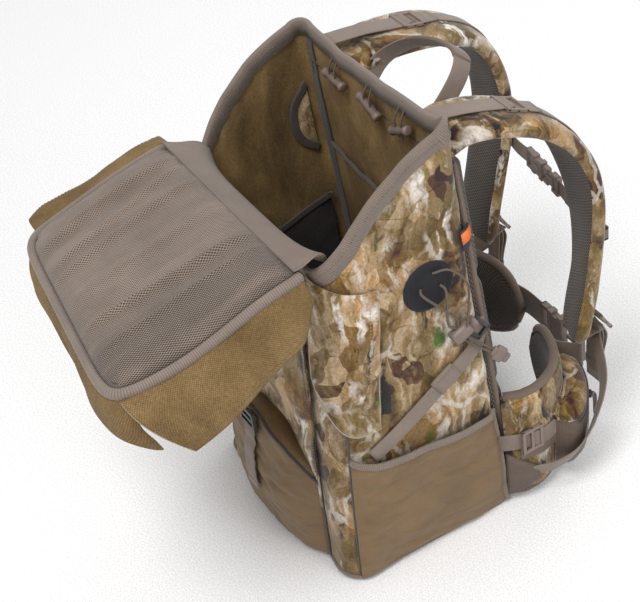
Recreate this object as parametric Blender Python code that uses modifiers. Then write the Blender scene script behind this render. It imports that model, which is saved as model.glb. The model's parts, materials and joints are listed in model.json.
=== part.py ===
"""Hunting backpack, top lid flipped open, standing on its base.

Metres, +Z up. The origin is the centre of the base's underside. +X is the wearer's right, +Y points
from the pack towards the wearer, and the lid is flipped forward over -Y.
"""

import math

import bmesh
import bpy
from mathutils import Matrix, Vector

# Bag
BASE_HALF_WIDTH = 0.144
RIM_HALF_WIDTH = 0.141
BACK_RIM_Z = 0.530
FRONT_RIM_Z = 0.418
FRONT_BASE_Y = -0.103
FRONT_RIM_Y = -0.071
REAR_BASE_Y = 0.115
REAR_RIM_Y = 0.072
FRONT_CORNER = 0.038
REAR_CORNER = 0.018
BASE_THICKNESS = 0.006
FABRIC = 0.003
GAP = 0.0005
SEAM = 0.0145  # half the station width left open between two wall panels, which the seam tape covers

# Lid
LID_AXIS = Vector((0.0, -0.100, 0.425))
LID_SLOPE = math.radians(8)
LID_HALF_WIDTH = 0.143
LID_LENGTH = 0.220
LID_TOP = 0.004
LID_UNDERSIDE = -0.006
SKIRT_WIDTH = 0.066
SKIRT_SLOPE = math.radians(45)
FRONT_SKIRT_SLOPE = math.radians(75)

# Harness
STRAP_WIDTH = 0.070
STRAP_THICKNESS = 0.018
BELT_THICKNESS = 0.018
WEBBING_THICKNESS = 0.002
WEBBING_WIDTH = 0.025
BELT_WEBBING_WIDTH = 0.038
BELT_ROOT = Vector((0.146, 0.124, 0.0))
BUCKLE_Z = 0.104
STERNUM_RAIL_INDEX = 19  # along the shoulder strap's path

SIDES = {"right": 1, "left": -1}

for leftover in list(bpy.data.objects):
    bpy.data.objects.remove(leftover)

pack = bpy.data.collections.new("hunting_backpack")
cutters = bpy.data.collections.new("cutters")
for collection in (pack, cutters):
    bpy.context.scene.collection.children.link(collection)


def material(name, colour, roughness, metallic=0.0):
    made = bpy.data.materials.new(name)
    made.use_nodes = True
    shader = made.node_tree.nodes["Principled BSDF"]
    shader.inputs["Base Color"].default_value = (*colour, 1.0)
    shader.inputs["Roughness"].default_value = roughness
    shader.inputs["Metallic"].default_value = metallic
    made.diffuse_color = (*colour, 1.0)
    return made


CAMO = material("camo_fleece", (0.28, 0.22, 0.15), 0.95)
TAN = material("tan_nylon", (0.24, 0.16, 0.075), 0.8)
FLEECE = material("tan_fleece", (0.33, 0.20, 0.075), 0.95)
LINING = material("brown_lining", (0.11, 0.065, 0.02), 0.95)
WEBBING = material("taupe_webbing", (0.21, 0.165, 0.13), 0.75)
MESH = material("dark_air_mesh", (0.06, 0.045, 0.035), 0.9)
PLASTIC = material("brown_plastic", (0.13, 0.09, 0.075), 0.45)
BLACK = material("black_plastic", (0.01, 0.01, 0.01), 0.5)
SHEET = material("frame_plastic", (0.02, 0.02, 0.02), 0.6)


# Building blocks


def add_object(name, mesh, finish, parent=None, group=pack):
    """Links a mesh as a named object; its coordinates are the parent's, or the world's without one."""
    made = bpy.data.objects.new(name, mesh)
    mesh.materials.append(finish)
    made.parent = parent
    group.objects.link(made)
    return made


def mesh_from(name, points, faces):
    """A mesh whose normals all face out."""
    mesh = bpy.data.meshes.new(name)
    mesh.from_pydata([tuple(point) for point in points], [], faces)
    edit = bmesh.new()
    edit.from_mesh(mesh)
    bmesh.ops.recalc_face_normals(edit, faces=edit.faces)
    edit.to_mesh(mesh)
    edit.free()
    mesh.shade_smooth()
    mesh.set_sharp_from_angle(angle=math.radians(35))
    return mesh


def loft(name, rings, finish, parent=None):
    """A closed body through rings of equally many points, with flat ends."""
    count = len(rings[0])
    points = [point for ring in rings for point in ring]
    faces = [tuple(range(count)), tuple(range(len(points) - count, len(points)))]
    for level in range(len(rings) - 1):
        for i in range(count):
            j = (i + 1) % count
            start = level * count
            faces.append((start + i, start + j, start + count + j, start + count + i))
    return add_object(name, mesh_from(name, points, faces), finish, parent)


def sheet(name, rows, thickness, finish, offset=0.0, parent=None):
    """An open grid of points, thickened. Its normal is along (next row) x (next column)."""
    columns = len(rows[0])
    points = [tuple(point) for row in rows for point in row]
    faces = []
    for r in range(len(rows) - 1):
        for c in range(columns - 1):
            first = r * columns + c
            faces.append((first, first + columns, first + columns + 1, first + 1))
    mesh = bpy.data.meshes.new(name)
    mesh.from_pydata(points, [], faces)
    made = add_object(name, mesh, finish, parent)
    solid = made.modifiers.new("thickness", "SOLIDIFY")
    solid.thickness = thickness
    solid.offset = offset
    solid.use_even_offset = True
    return made


def smooth_path(points, steps):
    """Points along a smooth curve through the given ones, steps of them for each span."""
    points = [Vector(point) for point in points]
    ends = [2 * points[0] - points[1], *points, 2 * points[-1] - points[-2]]
    path = []
    for i in range(1, len(ends) - 2):
        before, start, end, after = ends[i - 1 : i + 3]
        for step in range(steps):
            t = step / steps
            path.append(
                0.5 * (2 * start + (end - before) * t
                       + (2 * before - 5 * start + 4 * end - after) * t * t
                       + (3 * start - before - 3 * end + after) * t * t * t)
            )
    path.append(points[-1])
    return path


def tangents(path):
    last = len(path) - 1
    return [(path[min(i + 1, last)] - path[max(i - 1, 0)]).normalized() for i in range(last + 1)]


def ribbon(name, path, width, across, finish=WEBBING, thickness=WEBBING_THICKNESS, parent=None):
    """Flat webbing along a path; across is the direction of its width."""
    half = Vector(across).normalized() * width / 2
    return sheet(name, [(point - half, point + half) for point in path], thickness, finish, parent=parent)


def padded_strip(name, path, across, widths, thicknesses, finish, parent=None):
    """A pad with chamfered edges along a path, its width along across."""
    across = Vector(across).normalized()
    rings = []
    for point, tangent, width, thick in zip(path, tangents(path), widths, thicknesses):
        out = tangent.cross(across).normalized()
        w, t = width / 2, thick / 2
        chamfer = min(w, t) * 0.6
        corners = [(w, t - chamfer), (w - chamfer, t), (chamfer - w, t), (-w, t - chamfer),
                   (-w, chamfer - t), (chamfer - w, -t), (w - chamfer, -t), (w, chamfer - t)]
        rings.append([point + across * a + out * b for a, b in corners])
    return loft(name, rings, finish, parent)


def tube(name, points, radius, finish, parent=None):
    curve = bpy.data.curves.new(name, "CURVE")
    curve.dimensions = "3D"
    spline = curve.splines.new("POLY")
    spline.points.add(len(points) - 1)
    for place, point in zip(spline.points, points):
        place.co = (*point, 1.0)
    curve.bevel_depth = radius
    curve.bevel_resolution = 2
    curve.use_fill_caps = True
    return add_object(name, curve, finish, parent)


def block(name, size, place, finish, bevel=0.0015, parent=None, group=pack):
    """A box with rounded edges; place is a matrix in the parent's frame."""
    mesh = bpy.data.meshes.new(name)
    edit = bmesh.new()
    bmesh.ops.create_cube(edit, size=1.0, matrix=Matrix.Diagonal((*size, 1.0)))
    edit.to_mesh(mesh)
    edit.free()
    made = add_object(name, mesh, finish, parent, group)
    made.matrix_local = place
    if bevel:
        rounding = made.modifiers.new("rounding", "BEVEL")
        rounding.width = bevel
        rounding.segments = 1
    return made


def cut(made, cutter):
    cutter.hide_render = True
    cutter.display_type = "WIRE"
    hole = made.modifiers.new("hole", "BOOLEAN")
    hole.operation = "DIFFERENCE"
    hole.object = cutter


def round_bar(name, radius, length, place, finish, parent=None, group=pack, sides=12):
    """A cylinder along its own Z."""
    mesh = bpy.data.meshes.new(name)
    edit = bmesh.new()
    bmesh.ops.create_cone(edit, cap_ends=True, segments=sides, radius1=radius, radius2=radius, depth=length)
    edit.to_mesh(mesh)
    edit.free()
    mesh.shade_smooth()
    mesh.set_sharp_from_angle(angle=math.radians(35))
    made = add_object(name, mesh, finish, parent, group)
    made.matrix_local = place
    return made


def turned(name, profile, place, finish, parent=None, sides=16):
    """A profile of (radius, height) turned about its own Z; it runs down the outer side."""
    mesh = bpy.data.meshes.new(name)
    mesh.from_pydata([(radius, 0.0, height) for radius, height in profile],
                     [(i, (i + 1) % len(profile)) for i in range(len(profile))], [])
    made = add_object(name, mesh, finish, parent)
    made.matrix_local = place
    screw = made.modifiers.new("turn", "SCREW")
    screw.axis = "Z"
    screw.steps = sides
    screw.render_steps = sides
    screw.use_merge_vertices = True
    screw.merge_threshold = 0.00001
    return made


def axis_empty(name, place, parent=None):
    """The axis that a moving piece turns or slides on."""
    made = bpy.data.objects.new(name, None)
    made.empty_display_size = 0.03
    made.parent = parent
    made.matrix_local = place
    pack.objects.link(made)
    return made


def hang(made, axis, point):
    """Parents a piece that was placed in world coordinates to the axis empty that stands at this point."""
    made.parent = axis
    made.matrix_parent_inverse = Matrix.Translation(-point)


def at(x, y, z):
    return Matrix.Translation((x, y, z))


def frame_at(origin, x_axis, z_axis):
    """A matrix at origin whose X and Z lie along the given directions."""
    z = Vector(z_axis).normalized()
    y = z.cross(Vector(x_axis)).normalized()
    x = y.cross(z)
    turned_axes = Matrix((x, y, z)).transposed().to_4x4()
    return Matrix.Translation(origin) @ turned_axes


def ladder_lock(name, place, width, length, parent=None):
    """A two-bar buckle in its own XY plane: webbing of this width passes through its windows."""
    thickness = 0.004
    rail = 0.004
    made = block(name, (width + 2 * rail, length, thickness), place, PLASTIC, 0.001, parent)
    window = (length - 4 * rail) / 2
    for sign in (-1, 1):
        hole = block(f"{name}_window_{sign}", (width, window, 2 * thickness),
                     place @ at(0, sign * (window + rail) / 2, 0), PLASTIC, 0, parent, cutters)
        cut(made, hole)
    return made


# Bag


def half_width(z):
    return BASE_HALF_WIDTH + (RIM_HALF_WIDTH - BASE_HALF_WIDTH) * z / BACK_RIM_Z


def front_y(z):
    """The front leans back a little more towards the top."""
    t = z / FRONT_RIM_Z
    return FRONT_BASE_Y + (FRONT_RIM_Y - FRONT_BASE_Y) * (0.56 * t + 0.44 * t * t)


def rear_y(z):
    return REAR_BASE_Y + (REAR_RIM_Y - REAR_BASE_Y) * z / BACK_RIM_Z


def wall_point(station, z, outset=0.0):
    """A point on the bag's outer face, going round from the middle of the front.

    Stations 0 to 1 are the front, 1 to 2 the front corner, 2 to 3 the side, 3 to 4 the rear corner and
    4 to 5 the back. Negative stations are the left half.
    """
    side = -1 if station < 0 else 1
    station = abs(station)
    width, front, rear = half_width(z), front_y(z), rear_y(z)
    leg = min(int(station), 4)
    part = station - leg
    if leg == 0:
        x, y, turn = part * (width - FRONT_CORNER), front, 0.0
    elif leg == 1:
        turn = part * math.pi / 2
        x = width - FRONT_CORNER + FRONT_CORNER * math.sin(turn)
        y = front + FRONT_CORNER - FRONT_CORNER * math.cos(turn)
    elif leg == 2:
        x, turn = width, math.pi / 2
        y = front + FRONT_CORNER + part * (rear - REAR_CORNER - front - FRONT_CORNER)
    elif leg == 3:
        turn = (1 + part) * math.pi / 2
        x = width - REAR_CORNER + REAR_CORNER * math.sin(turn)
        y = rear - REAR_CORNER - REAR_CORNER * math.cos(turn)
    else:
        x, y, turn = (1 - part) * (width - REAR_CORNER), rear, math.pi
    return Vector((side * (x + outset * math.sin(turn)), y - outset * math.cos(turn), z))


def station_at_y(y, z):
    """The station of a point on the side wall."""
    start = front_y(z) + FRONT_CORNER
    return 2 + (y - start) / (rear_y(z) - REAR_CORNER - start)


def rim_z(y):
    """The mouth rises in a bulging curve from the low front to the high back."""
    t = min(max((y - FRONT_RIM_Y) / (REAR_RIM_Y - FRONT_RIM_Y), 0.0), 1.0)
    return BACK_RIM_Z - (BACK_RIM_Z - FRONT_RIM_Z) * (1 - t) ** 2


def rim_height(station):
    z = FRONT_RIM_Z
    for _ in range(12):
        z = rim_z(wall_point(station, z).y)
    return z


def steps_between(low, high, count):
    return [low + (high - low) * i / count for i in range(count + 1)]


def wall_rows(stations, levels, highest=BACK_RIM_Z):
    """The outer face of one panel of the bag's wall, from the base up to the rim or to a given height."""
    low = BASE_THICKNESS + GAP
    rows = []
    for level in range(levels + 1):
        share = level / levels
        rows.append([wall_point(s, low + (min(rim_height(s), highest) - low) * share) for s in stations])
    return rows


def build_bag():
    outline = [wall_point(s, 0.0) for s in steps_between(0, 5, 20)]
    outline += [wall_point(-s, 0.0) for s in steps_between(0, 5, 20)[-2:0:-1]]
    lifted = [point + Vector((0, 0, BASE_THICKNESS)) for point in outline]
    loft("base_panel", [outline, lifted], TAN)

    corner = [1, 1.25, 1.5 - SEAM]
    front = [-s for s in reversed(corner)] + [-0.5, 0, 0.5] + corner
    rows = wall_rows(front, 5, FRONT_RIM_Z + 0.001)
    for forward, z in ((0.009, 0.4195), (0.024, 0.4185)):
        rows.append([Vector((point.x, point.y - forward, z)) for point in rows[5]])
    sheet("front_panel", [row[::-1] for row in rows], FABRIC, CAMO, offset=-1)

    right = [1.5 + SEAM, 1.75, *steps_between(2, 3, 7), 3.5, 4]
    rows = wall_rows(right, 6)
    sheet("side_panel_right", [row[::-1] for row in rows], FABRIC, CAMO, offset=-1)
    rows = wall_rows([-s for s in right], 6)
    sheet("side_panel_left", rows, FABRIC, CAMO, offset=-1)

    back = [4 + SEAM, 4.5, -4.5, -4 - SEAM]
    rows = wall_rows(back, 4)
    sheet("back_panel", [row[::-1] for row in rows], FABRIC, LINING, offset=-1)


def behind_back(x, z, out):
    return Vector((x, rear_y(z) + out, z))


def build_back():
    """The stiffener, the air-mesh padding behind it and the lumbar pad."""
    stiff = 0.0016
    rows = [[behind_back(x, z, GAP) for x in (-0.112, 0.112)] for z in (0.030, 0.480)]
    sheet("frame_sheet", rows, stiff, SHEET, offset=1)

    inner = GAP + stiff + GAP
    padding = 0.010
    rows = [[behind_back(x, z, inner) for x in (-0.122, 0.122)] for z in (0.012, 0.474)]
    sheet("back_padding", rows, padding, MESH, offset=1)

    face = inner + padding + GAP
    rings = []
    for z, half, depth in ((0.052, 0.060, 0.006), (0.066, 0.078, 0.014), (0.132, 0.078, 0.016),
                           (0.150, 0.056, 0.006)):
        rings.append([behind_back(half, z, face), behind_back(half - 0.008, z, face + depth),
                      behind_back(0.008 - half, z, face + depth), behind_back(-half, z, face)])
    loft("lumbar_pad", rings, MESH)


def front_pocket_y(z):
    """The front pocket's outer face on its centre line."""
    level = (z - 0.008) / 0.187
    return front_y(z) - GAP - 0.014 - 0.021 * math.sin(math.pi * min(level * 0.62, 1.0))


def build_front():
    rings = []
    for z in (0.008, 0.040, 0.085, 0.130, 0.165, 0.188, 0.196):
        back = front_y(z) - GAP
        depth = back - front_pocket_y(z)
        if z > 0.19:
            depth *= 0.55
        half = 0.112 - 0.006 * (z / 0.196)
        ring = [Vector((half, back, z)), Vector((-half, back, z))]
        for share in steps_between(-1, 1, 8):
            ring.append(Vector((half * share, back - 0.003 - (depth - 0.003) * (1 - abs(share) ** 3), z)))
        rings.append(ring)
    loft("front_pocket", rings, TAN)

    top = 0.196 + GAP
    block("front_zip_slider", (0.010, 0.007, 0.004), at(-0.060, front_y(top) - 0.010, top + 0.002), BLACK, 0.001)
    path = [Vector((0, front_pocket_y(z) - GAP - WEBBING_THICKNESS / 2, z)) for z in steps_between(0.050, 0.152, 5)]
    ribbon("front_strap", path, WEBBING_WIDTH, (1, 0, 0))
    buckle_z = 0.168
    block("front_buckle", (0.030, 0.006, 0.028), at(0, front_pocket_y(buckle_z) - GAP - 0.004, buckle_z), BLACK)


def build_sides():
    for name, side in SIDES.items():
        rows = []
        stations = [1.60, 1.80, *steps_between(2, 3, 6), 3.30]
        for z, fullness in ((0.008, 0.15), (0.050, 0.8), (0.110, 1.0), (0.165, 1.0), (0.192, 1.0)):
            row = []
            for s in stations:
                share = (s - stations[0]) / (stations[-1] - stations[0])
                belly = math.sin(math.pi * share)
                low_edge = 0.030 * belly + 0.022 * share
                height = z - (low_edge if z > 0.1 else 0.0) * (z - 0.1) / 0.092
                row.append(wall_point(side * s, height, GAP + 0.010 * fullness * belly ** 0.6))
            rows.append(row)
        sheet(f"side_pocket_{name}", rows if side < 0 else [row[::-1] for row in rows], 0.0025, TAN, offset=1)

        rows = []
        rear = station_at_y(-0.035, 0.30)
        stations = [0.87, 1.0, 1.25, 1.5, 1.75, 2.0, rear]
        for share in steps_between(0, 1, 4):
            row = []
            for s in stations:
                bottom = 0.226 + (0.052 if s < 0.9 else 0.018 if s < 1.1 else 0.0)
                row.append(wall_point(side * s, bottom + (0.410 - bottom) * share, GAP))
            rows.append(row)
        sheet(f"wing_flap_{name}", rows if side < 0 else [row[::-1] for row in rows], FABRIC, CAMO, offset=1)

        half = Vector((0, 0, 0.0125))
        path = [(0.090, 0.280), (0.036, 0.240), (-0.002, 0.215)]
        rows = [[wall_point(side * station_at_y(y, z), z, GAP) + half * k for k in (-1, 1)] for y, z in path]
        sheet(f"compression_strap_{name}", [row if side > 0 else row[::-1] for row in rows],
              WEBBING_THICKNESS, WEBBING, offset=-1)


def build_port():
    """The black gear-cord port on the right wall, its shock cord and the cord lock."""
    centre = wall_point(station_at_y(0.031, 0.360), 0.360, GAP)
    outward = frame_at(centre, (0, 1, 0), (1, 0, 0))
    profile = [(0.0035, 0.004), (0.024, 0.004), (0.029, 0.002), (0.030, 0.0), (0.0035, 0.0)]
    turned("cord_port", profile, outward, BLACK, sides=20)

    hang = centre.x + 0.014
    top, bottom = Vector((hang, 0.038, 0.334)), Vector((hang, 0.074, 0.256))
    route = smooth_path([centre + Vector((0.0008, 0, 0)), centre + Vector((0.009, 0.001, -0.004)), top], 4)
    tube("shock_cord", [*route, bottom], 0.0018, BLACK)

    along = (bottom - top).normalized()
    body = frame_at(top.lerp(bottom, 0.52), (1, 0, 0), along)
    lock = block("cord_lock_body", (0.012, 0.020, 0.012), body, PLASTIC, 0.002)
    hole = round_bar("cord_lock_hole", 0.0028, 0.030, body, PLASTIC, group=cutters)
    cut(lock, hole)
    press = body @ Matrix.Rotation(math.radians(90), 4, "X") @ at(0, 0, 0.010 + 0.0065 / 2 + 0.004)
    round_bar("cord_lock_button", 0.0045, 0.0065, press, PLASTIC)


def build_toggles():
    """Three barrel toggles hanging inside the back panel, each below its loop's anchor."""
    barrel = [(0.0, 0.013), (0.004, 0.013), (0.0052, 0.009), (0.0042, 0.003), (0.0042, -0.003),
              (0.0052, -0.009), (0.004, -0.013), (0.0, -0.013)]
    for number, x in enumerate((-0.066, 0.003, 0.062), start=1):
        y = rear_y(0.500) - FABRIC - 0.0075
        turned(f"toggle_{number}", barrel, at(x, y, 0.494) @ Matrix.Rotation(math.radians(90), 4, "Y"),
               PLASTIC, sides=10)


def build_inner_pocket():
    z_low, z_high = 0.215, 0.385
    rows = [[Vector((x, rear_y(z) - FABRIC - GAP - out, z)) for x, out in ((-0.112, 0), (0, 0.009), (0.112, 0))]
            for z in (z_low, z_high)]
    sheet("inner_back_pocket", rows, 0.002, LINING, offset=-1)


# Lid


def plate(name, outline, low, high, finish, parent):
    return loft(name, [[Vector((x, y, low)) for x, y in outline], [Vector((x, y, high)) for x, y in outline]],
                finish, parent)


def rounded_outline(half, near, far, near_radius, far_radius, arc_steps=4):
    """A rectangle in XY from y=near to the lower y=far, with rounded corners."""
    outline = []
    for x, y, radius, start in ((half, near, near_radius, 90), (-half, near, near_radius, 180),
                                (-half, far, far_radius, 270), (half, far, far_radius, 0)):
        centre = Vector((x - math.copysign(radius, x), y + (radius if y == far else -radius)))
        for step in range(arc_steps + 1):
            angle = math.radians(start - 90 + 90 * step / arc_steps)
            outline.append((centre.x + radius * math.cos(angle), centre.y + radius * math.sin(angle)))
    return outline


def build_lid():
    """The lid, its mesh pocket and its three skirts, in the frame of the lid's hinge axis."""
    hinge = axis_empty("lid_axis", Matrix.Translation(LID_AXIS) @ Matrix.Rotation(LID_SLOPE, 4, "X"))
    outline = rounded_outline(LID_HALF_WIDTH, -0.006, -LID_LENGTH, 0.012, 0.045)
    plate("lid_panel", outline, LID_UNDERSIDE, LID_TOP, FLEECE, hinge)

    rings = []
    for inset, height in ((0.014, LID_TOP + GAP), (0.015, 0.011), (0.026, 0.0155), (0.052, 0.017)):
        shape = rounded_outline(LID_HALF_WIDTH - inset, -0.006 - inset, inset - LID_LENGTH, 0.012, 0.035)
        rings.append([Vector((x, y, height)) for x, y in shape])
    loft("lid_mesh_pocket", rings, MESH, hinge)

    for name, side in SIDES.items():
        place = at(side * (LID_HALF_WIDTH + 0.0025), 0, -0.001) @ Matrix.Rotation(side * SKIRT_SLOPE, 4, "Y")
        axis = axis_empty(f"lid_skirt_axis_{name}", place, hinge)
        shape = [(0.001, -0.010), (0.030, -0.004), (0.052, -0.012), (0.063, -0.030), (SKIRT_WIDTH, -0.060),
                 (SKIRT_WIDTH, -0.150), (SKIRT_WIDTH - 0.006, -0.171), (0.001, -0.174)]
        plate(f"lid_skirt_{name}", [(side * x, y) for x, y in shape], -0.0015, 0.0015, FLEECE, axis)

    place = at(0, -LID_LENGTH - 0.0025, -0.001) @ Matrix.Rotation(FRONT_SKIRT_SLOPE, 4, "X")
    axis = axis_empty("lid_skirt_axis_front", place, hinge)
    shape = [(-0.100, -0.001), (0.100, -0.001), (0.126, -0.030), (0.128, -0.056), (0.060, -0.050),
             (-0.060, -0.050), (-0.126, -0.052), (-0.124, -0.030)]
    plate("lid_skirt_front", shape, -0.0015, 0.0015, FLEECE, axis)


# Harness


def strap_path(side):
    """The centre line of a shoulder strap, from the back panel over the shoulder to its lower end.

    The left strap arches further out than the right.
    """
    if side > 0:
        route = [(0.096, 0.0785, 0.496), (0.097, 0.106, 0.502), (0.100, 0.150, 0.492), (0.103, 0.196, 0.468),
                 (0.106, 0.231, 0.430), (0.109, 0.250, 0.380), (0.110, 0.257, 0.320), (0.110, 0.254, 0.250),
                 (0.109, 0.2445, 0.200), (0.108, 0.237, 0.162)]
    else:
        route = [(-0.096, 0.0785, 0.490), (-0.097, 0.110, 0.497), (-0.100, 0.160, 0.494), (-0.103, 0.214, 0.480),
                 (-0.105, 0.258, 0.450), (-0.107, 0.283, 0.395), (-0.108, 0.288, 0.330), (-0.108, 0.275, 0.265),
                 (-0.108, 0.263, 0.212), (-0.108, 0.257, 0.164)]
    return smooth_path(route, 3)


def on_strap(side, index, out):
    """A point out from the strap's centre line, with the directions along and out of the strap there."""
    path = strap_path(side)
    along = tangents(path)[index]
    outward = Vector((1, 0, 0)).cross(along).normalized()
    return path[index] + outward * out, along, outward


def build_shoulder_straps():
    for name, side in SIDES.items():
        path = strap_path(side)
        last = len(path) - 1
        widths = [STRAP_WIDTH - 0.010 * max(1 - i / 6, 0) - 0.012 * i / last for i in range(last + 1)]
        widths[-1] = 0.040
        padded_strip(f"shoulder_strap_{name}", path, (1, 0, 0), widths, [STRAP_THICKNESS] * len(path), CAMO)

        lift = STRAP_THICKNESS / 2 + GAP + 0.002
        centre, along, outward = on_strap(side, 7, lift)
        ladder_lock(f"lifter_buckle_{name}", frame_at(centre, (1, 0, 0), outward), WEBBING_WIDTH, 0.028)
        start = Vector((side * 0.096, 0.0755, 0.524))
        end = centre - along * 0.0155
        ribbon(f"load_lifter_{name}", smooth_path([start, start.lerp(end, 0.5) + outward * 0.002, end], 2),
               WEBBING_WIDTH, (1, 0, 0))

        low = path[-1] + Vector((side * 0.004, 0.030, 0.014))
        ladder_lock(f"strap_buckle_{name}", frame_at(low, (1, 0, 0), (0, 0.75, 0.45)), WEBBING_WIDTH, 0.030)


def build_sternum_strap():
    """Sliders on the straps' outer faces, with webbing and a side-release buckle between them."""
    lift = STRAP_THICKNESS / 2 + 0.003 + 0.004
    centres = {}
    for name, side in SIDES.items():
        centre, along, outward = on_strap(side, STERNUM_RAIL_INDEX, lift)
        centres[name] = centre
        block(f"sternum_slider_{name}", (0.028, 0.018, 0.008), frame_at(centre, (1, 0, 0), outward), PLASTIC)
    across = (centres["right"] - centres["left"]).normalized()
    middle = centres["left"].lerp(centres["right"], 0.46)
    upright = Vector((0, 0, 1))
    outward = upright.cross(across) * -1
    for kind, shift, length in (("male", 0.0175, 0.034), ("female", -0.0190, 0.037)):
        block(f"sternum_buckle_{kind}", (length, 0.026, 0.009),
              frame_at(middle + across * shift, across, outward), PLASTIC)
    for name, reach in (("right", 0.0560), ("left", -0.0380)):
        slider_end = centres[name] - across * math.copysign(0.0148, reach)
        ribbon(f"sternum_webbing_{name}", [slider_end, middle + across * reach], 0.020, upright)


def belt_path(side):
    """The centre line of a hip wing in plan, from its root to its tip; the left tip lies over the right."""
    if side > 0:
        route = [(0.146, 0.124), (0.150, 0.150), (0.138, 0.181), (0.112, 0.204), (0.078, 0.218), (0.040, 0.227)]
    else:
        route = [(-0.146, 0.124), (-0.152, 0.158), (-0.141, 0.197), (-0.113, 0.228), (-0.072, 0.248),
                 (-0.024, 0.257)]
    return smooth_path([(x, y, 0) for x, y in route], 2)


def beside_belt(side, start, end, out, z):
    """Points along part of a hip wing, moved out from its centre line, at one height."""
    path = belt_path(side)
    outward = [Vector((0, 0, side)).cross(t) * -1 for t in tangents(path)]
    return [path[i] + outward[i] * out + Vector((0, 0, z)) for i in range(start, end)]


def lower_webbing(name, side):
    """The single webbing from a lower strap buckle, past the hip pocket, to the tab at the pack's corner."""
    if side > 0:
        route = [(0.118, 0.264, 0.122), (0.130, 0.268, 0.100), (0.158, 0.250, 0.062), (0.188, 0.208, 0.036),
                 (0.188, 0.166, 0.030), (0.170, 0.134, 0.034)]
    else:
        route = [(-0.118, 0.286, 0.122), (-0.132, 0.290, 0.100), (-0.168, 0.268, 0.062), (-0.202, 0.222, 0.036),
                 (-0.204, 0.170, 0.030), (-0.176, 0.134, 0.034)]
    return ribbon(f"strap_webbing_{name}", smooth_path(route, 2), WEBBING_WIDTH, (side * 0.45, 0.05, 0.9))


def build_hip_belt():
    """Two padded wings, each with a zip pocket, webbing, a buckle half and a stabiliser lock."""
    pieces = {"right": [], "left": []}
    for name, side in SIDES.items():
        path = belt_path(side)
        last = len(path) - 1
        heights = [0.146 - 0.064 * (i / last) ** 2 for i in range(last + 1)]
        heights[-1] = 0.056
        path = [point + Vector((0, 0, 0.082 + 0.021 * i / last)) for i, point in enumerate(path)]
        thick = [BELT_THICKNESS] * (last + 1)
        pieces[name].append(padded_strip(f"hip_wing_{name}", path, (0, 0, 1), heights, thick, CAMO))

        depth = 0.026
        out = BELT_THICKNESS / 2 + 0.001 + depth / 2
        first = 3 if side > 0 else 2
        heights = [0.080, 0.094, 0.096, 0.096, 0.094, 0.080]
        thick = [depth * k for k in (0.8, 1, 1, 1, 1, 0.8)]
        route = beside_belt(side, first, first + 6, out, 0.075)
        pieces[name].append(padded_strip(f"hip_pocket_{name}", route, (0, 0, 1), heights, thick, CAMO))

        face = beside_belt(side, first + 1, first + 5, out + depth / 2 + 0.0036, 0.100)
        slide = (face[2] - face[1]).normalized()
        outward = slide.cross(Vector((0, 0, 1))) * side
        pieces[name].append(block(f"hip_zip_slider_{name}", (0.009, 0.006, 0.004),
                                  frame_at(face[1].lerp(face[2], 0.35), slide, outward), BLACK, 0.001))

        place = beside_belt(side, 1, 2, BELT_THICKNESS / 2 + 0.004, 0.096)[0]
        pieces[name].append(ladder_lock(f"stabiliser_buckle_{name}", frame_at(place, (0, 0, 1), (side, 0, 0)),
                                        WEBBING_WIDTH, 0.028))

    right = beside_belt(1, 9, 10, BELT_THICKNESS / 2 + 0.003, BUCKLE_Z)[0]
    path = smooth_path([right, (0.076, 0.245, BUCKLE_Z), (0.090, 0.2575, BUCKLE_Z)], 2)
    pieces["right"].append(ribbon("hip_webbing_right", path, BELT_WEBBING_WIDTH, (0, 0, 1)))
    left = beside_belt(-1, 9, 11, BELT_THICKNESS / 2 + 0.003, BUCKLE_Z)
    path = [*left, Vector((0.003, 0.2685, BUCKLE_Z))]
    pieces["left"].append(ribbon("hip_webbing_left", path, BELT_WEBBING_WIDTH, (0, 0, 1)))
    for name, kind, x, length in (("right", "male", 0.0645, 0.034), ("left", "female", 0.0250, 0.041)):
        pieces[name].append(block(f"hip_buckle_{kind}", (length, 0.011, 0.044), at(x, 0.2680, BUCKLE_Z),
                                  PLASTIC, 0.002))
    for name, side in SIDES.items():
        pieces[name].append(lower_webbing(name, side))
        root = Vector((side * BELT_ROOT.x, BELT_ROOT.y - 0.003, 0))
        axis = axis_empty(f"hip_axis_{name}", Matrix.Translation(root))
        for piece in pieces[name]:
            hang(piece, axis, root)


def build_haul_loop():
    """A webbing handle that stands up behind the rim and leans towards the wearer."""
    route = [(0.058, 0.098, 0.481), (0.064, 0.118, 0.505), (0.064, 0.138, 0.530), (0.052, 0.149, 0.542),
             (0.022, 0.151, 0.541), (-0.015, 0.147, 0.530), (-0.045, 0.138, 0.514), (-0.061, 0.120, 0.497),
             (-0.058, 0.098, 0.479)]
    path = smooth_path(route, 2)
    wide = Vector((0, 0.75, -0.66))
    rows = []
    for point, tangent in zip(path, tangents(path)):
        half = (wide - tangent * wide.dot(tangent)).normalized() * WEBBING_WIDTH / 2
        rows.append((point - half, point + half))
    sheet("haul_loop", rows, WEBBING_THICKNESS, WEBBING)


build_bag()
build_back()
build_front()
build_sides()
build_port()
build_toggles()
build_inner_pocket()
build_lid()
build_shoulder_straps()
build_sternum_strap()
build_hip_belt()
build_haul_loop()
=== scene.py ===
"""Hunting backpack with its lid flipped open: the looks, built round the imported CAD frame.

Metres, +Z up, +X the wearer's right, +Y the harness side, -Y the front.
"""

import json
import math

import bmesh
import bpy
from mathutils import Matrix, Vector, noise

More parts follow.
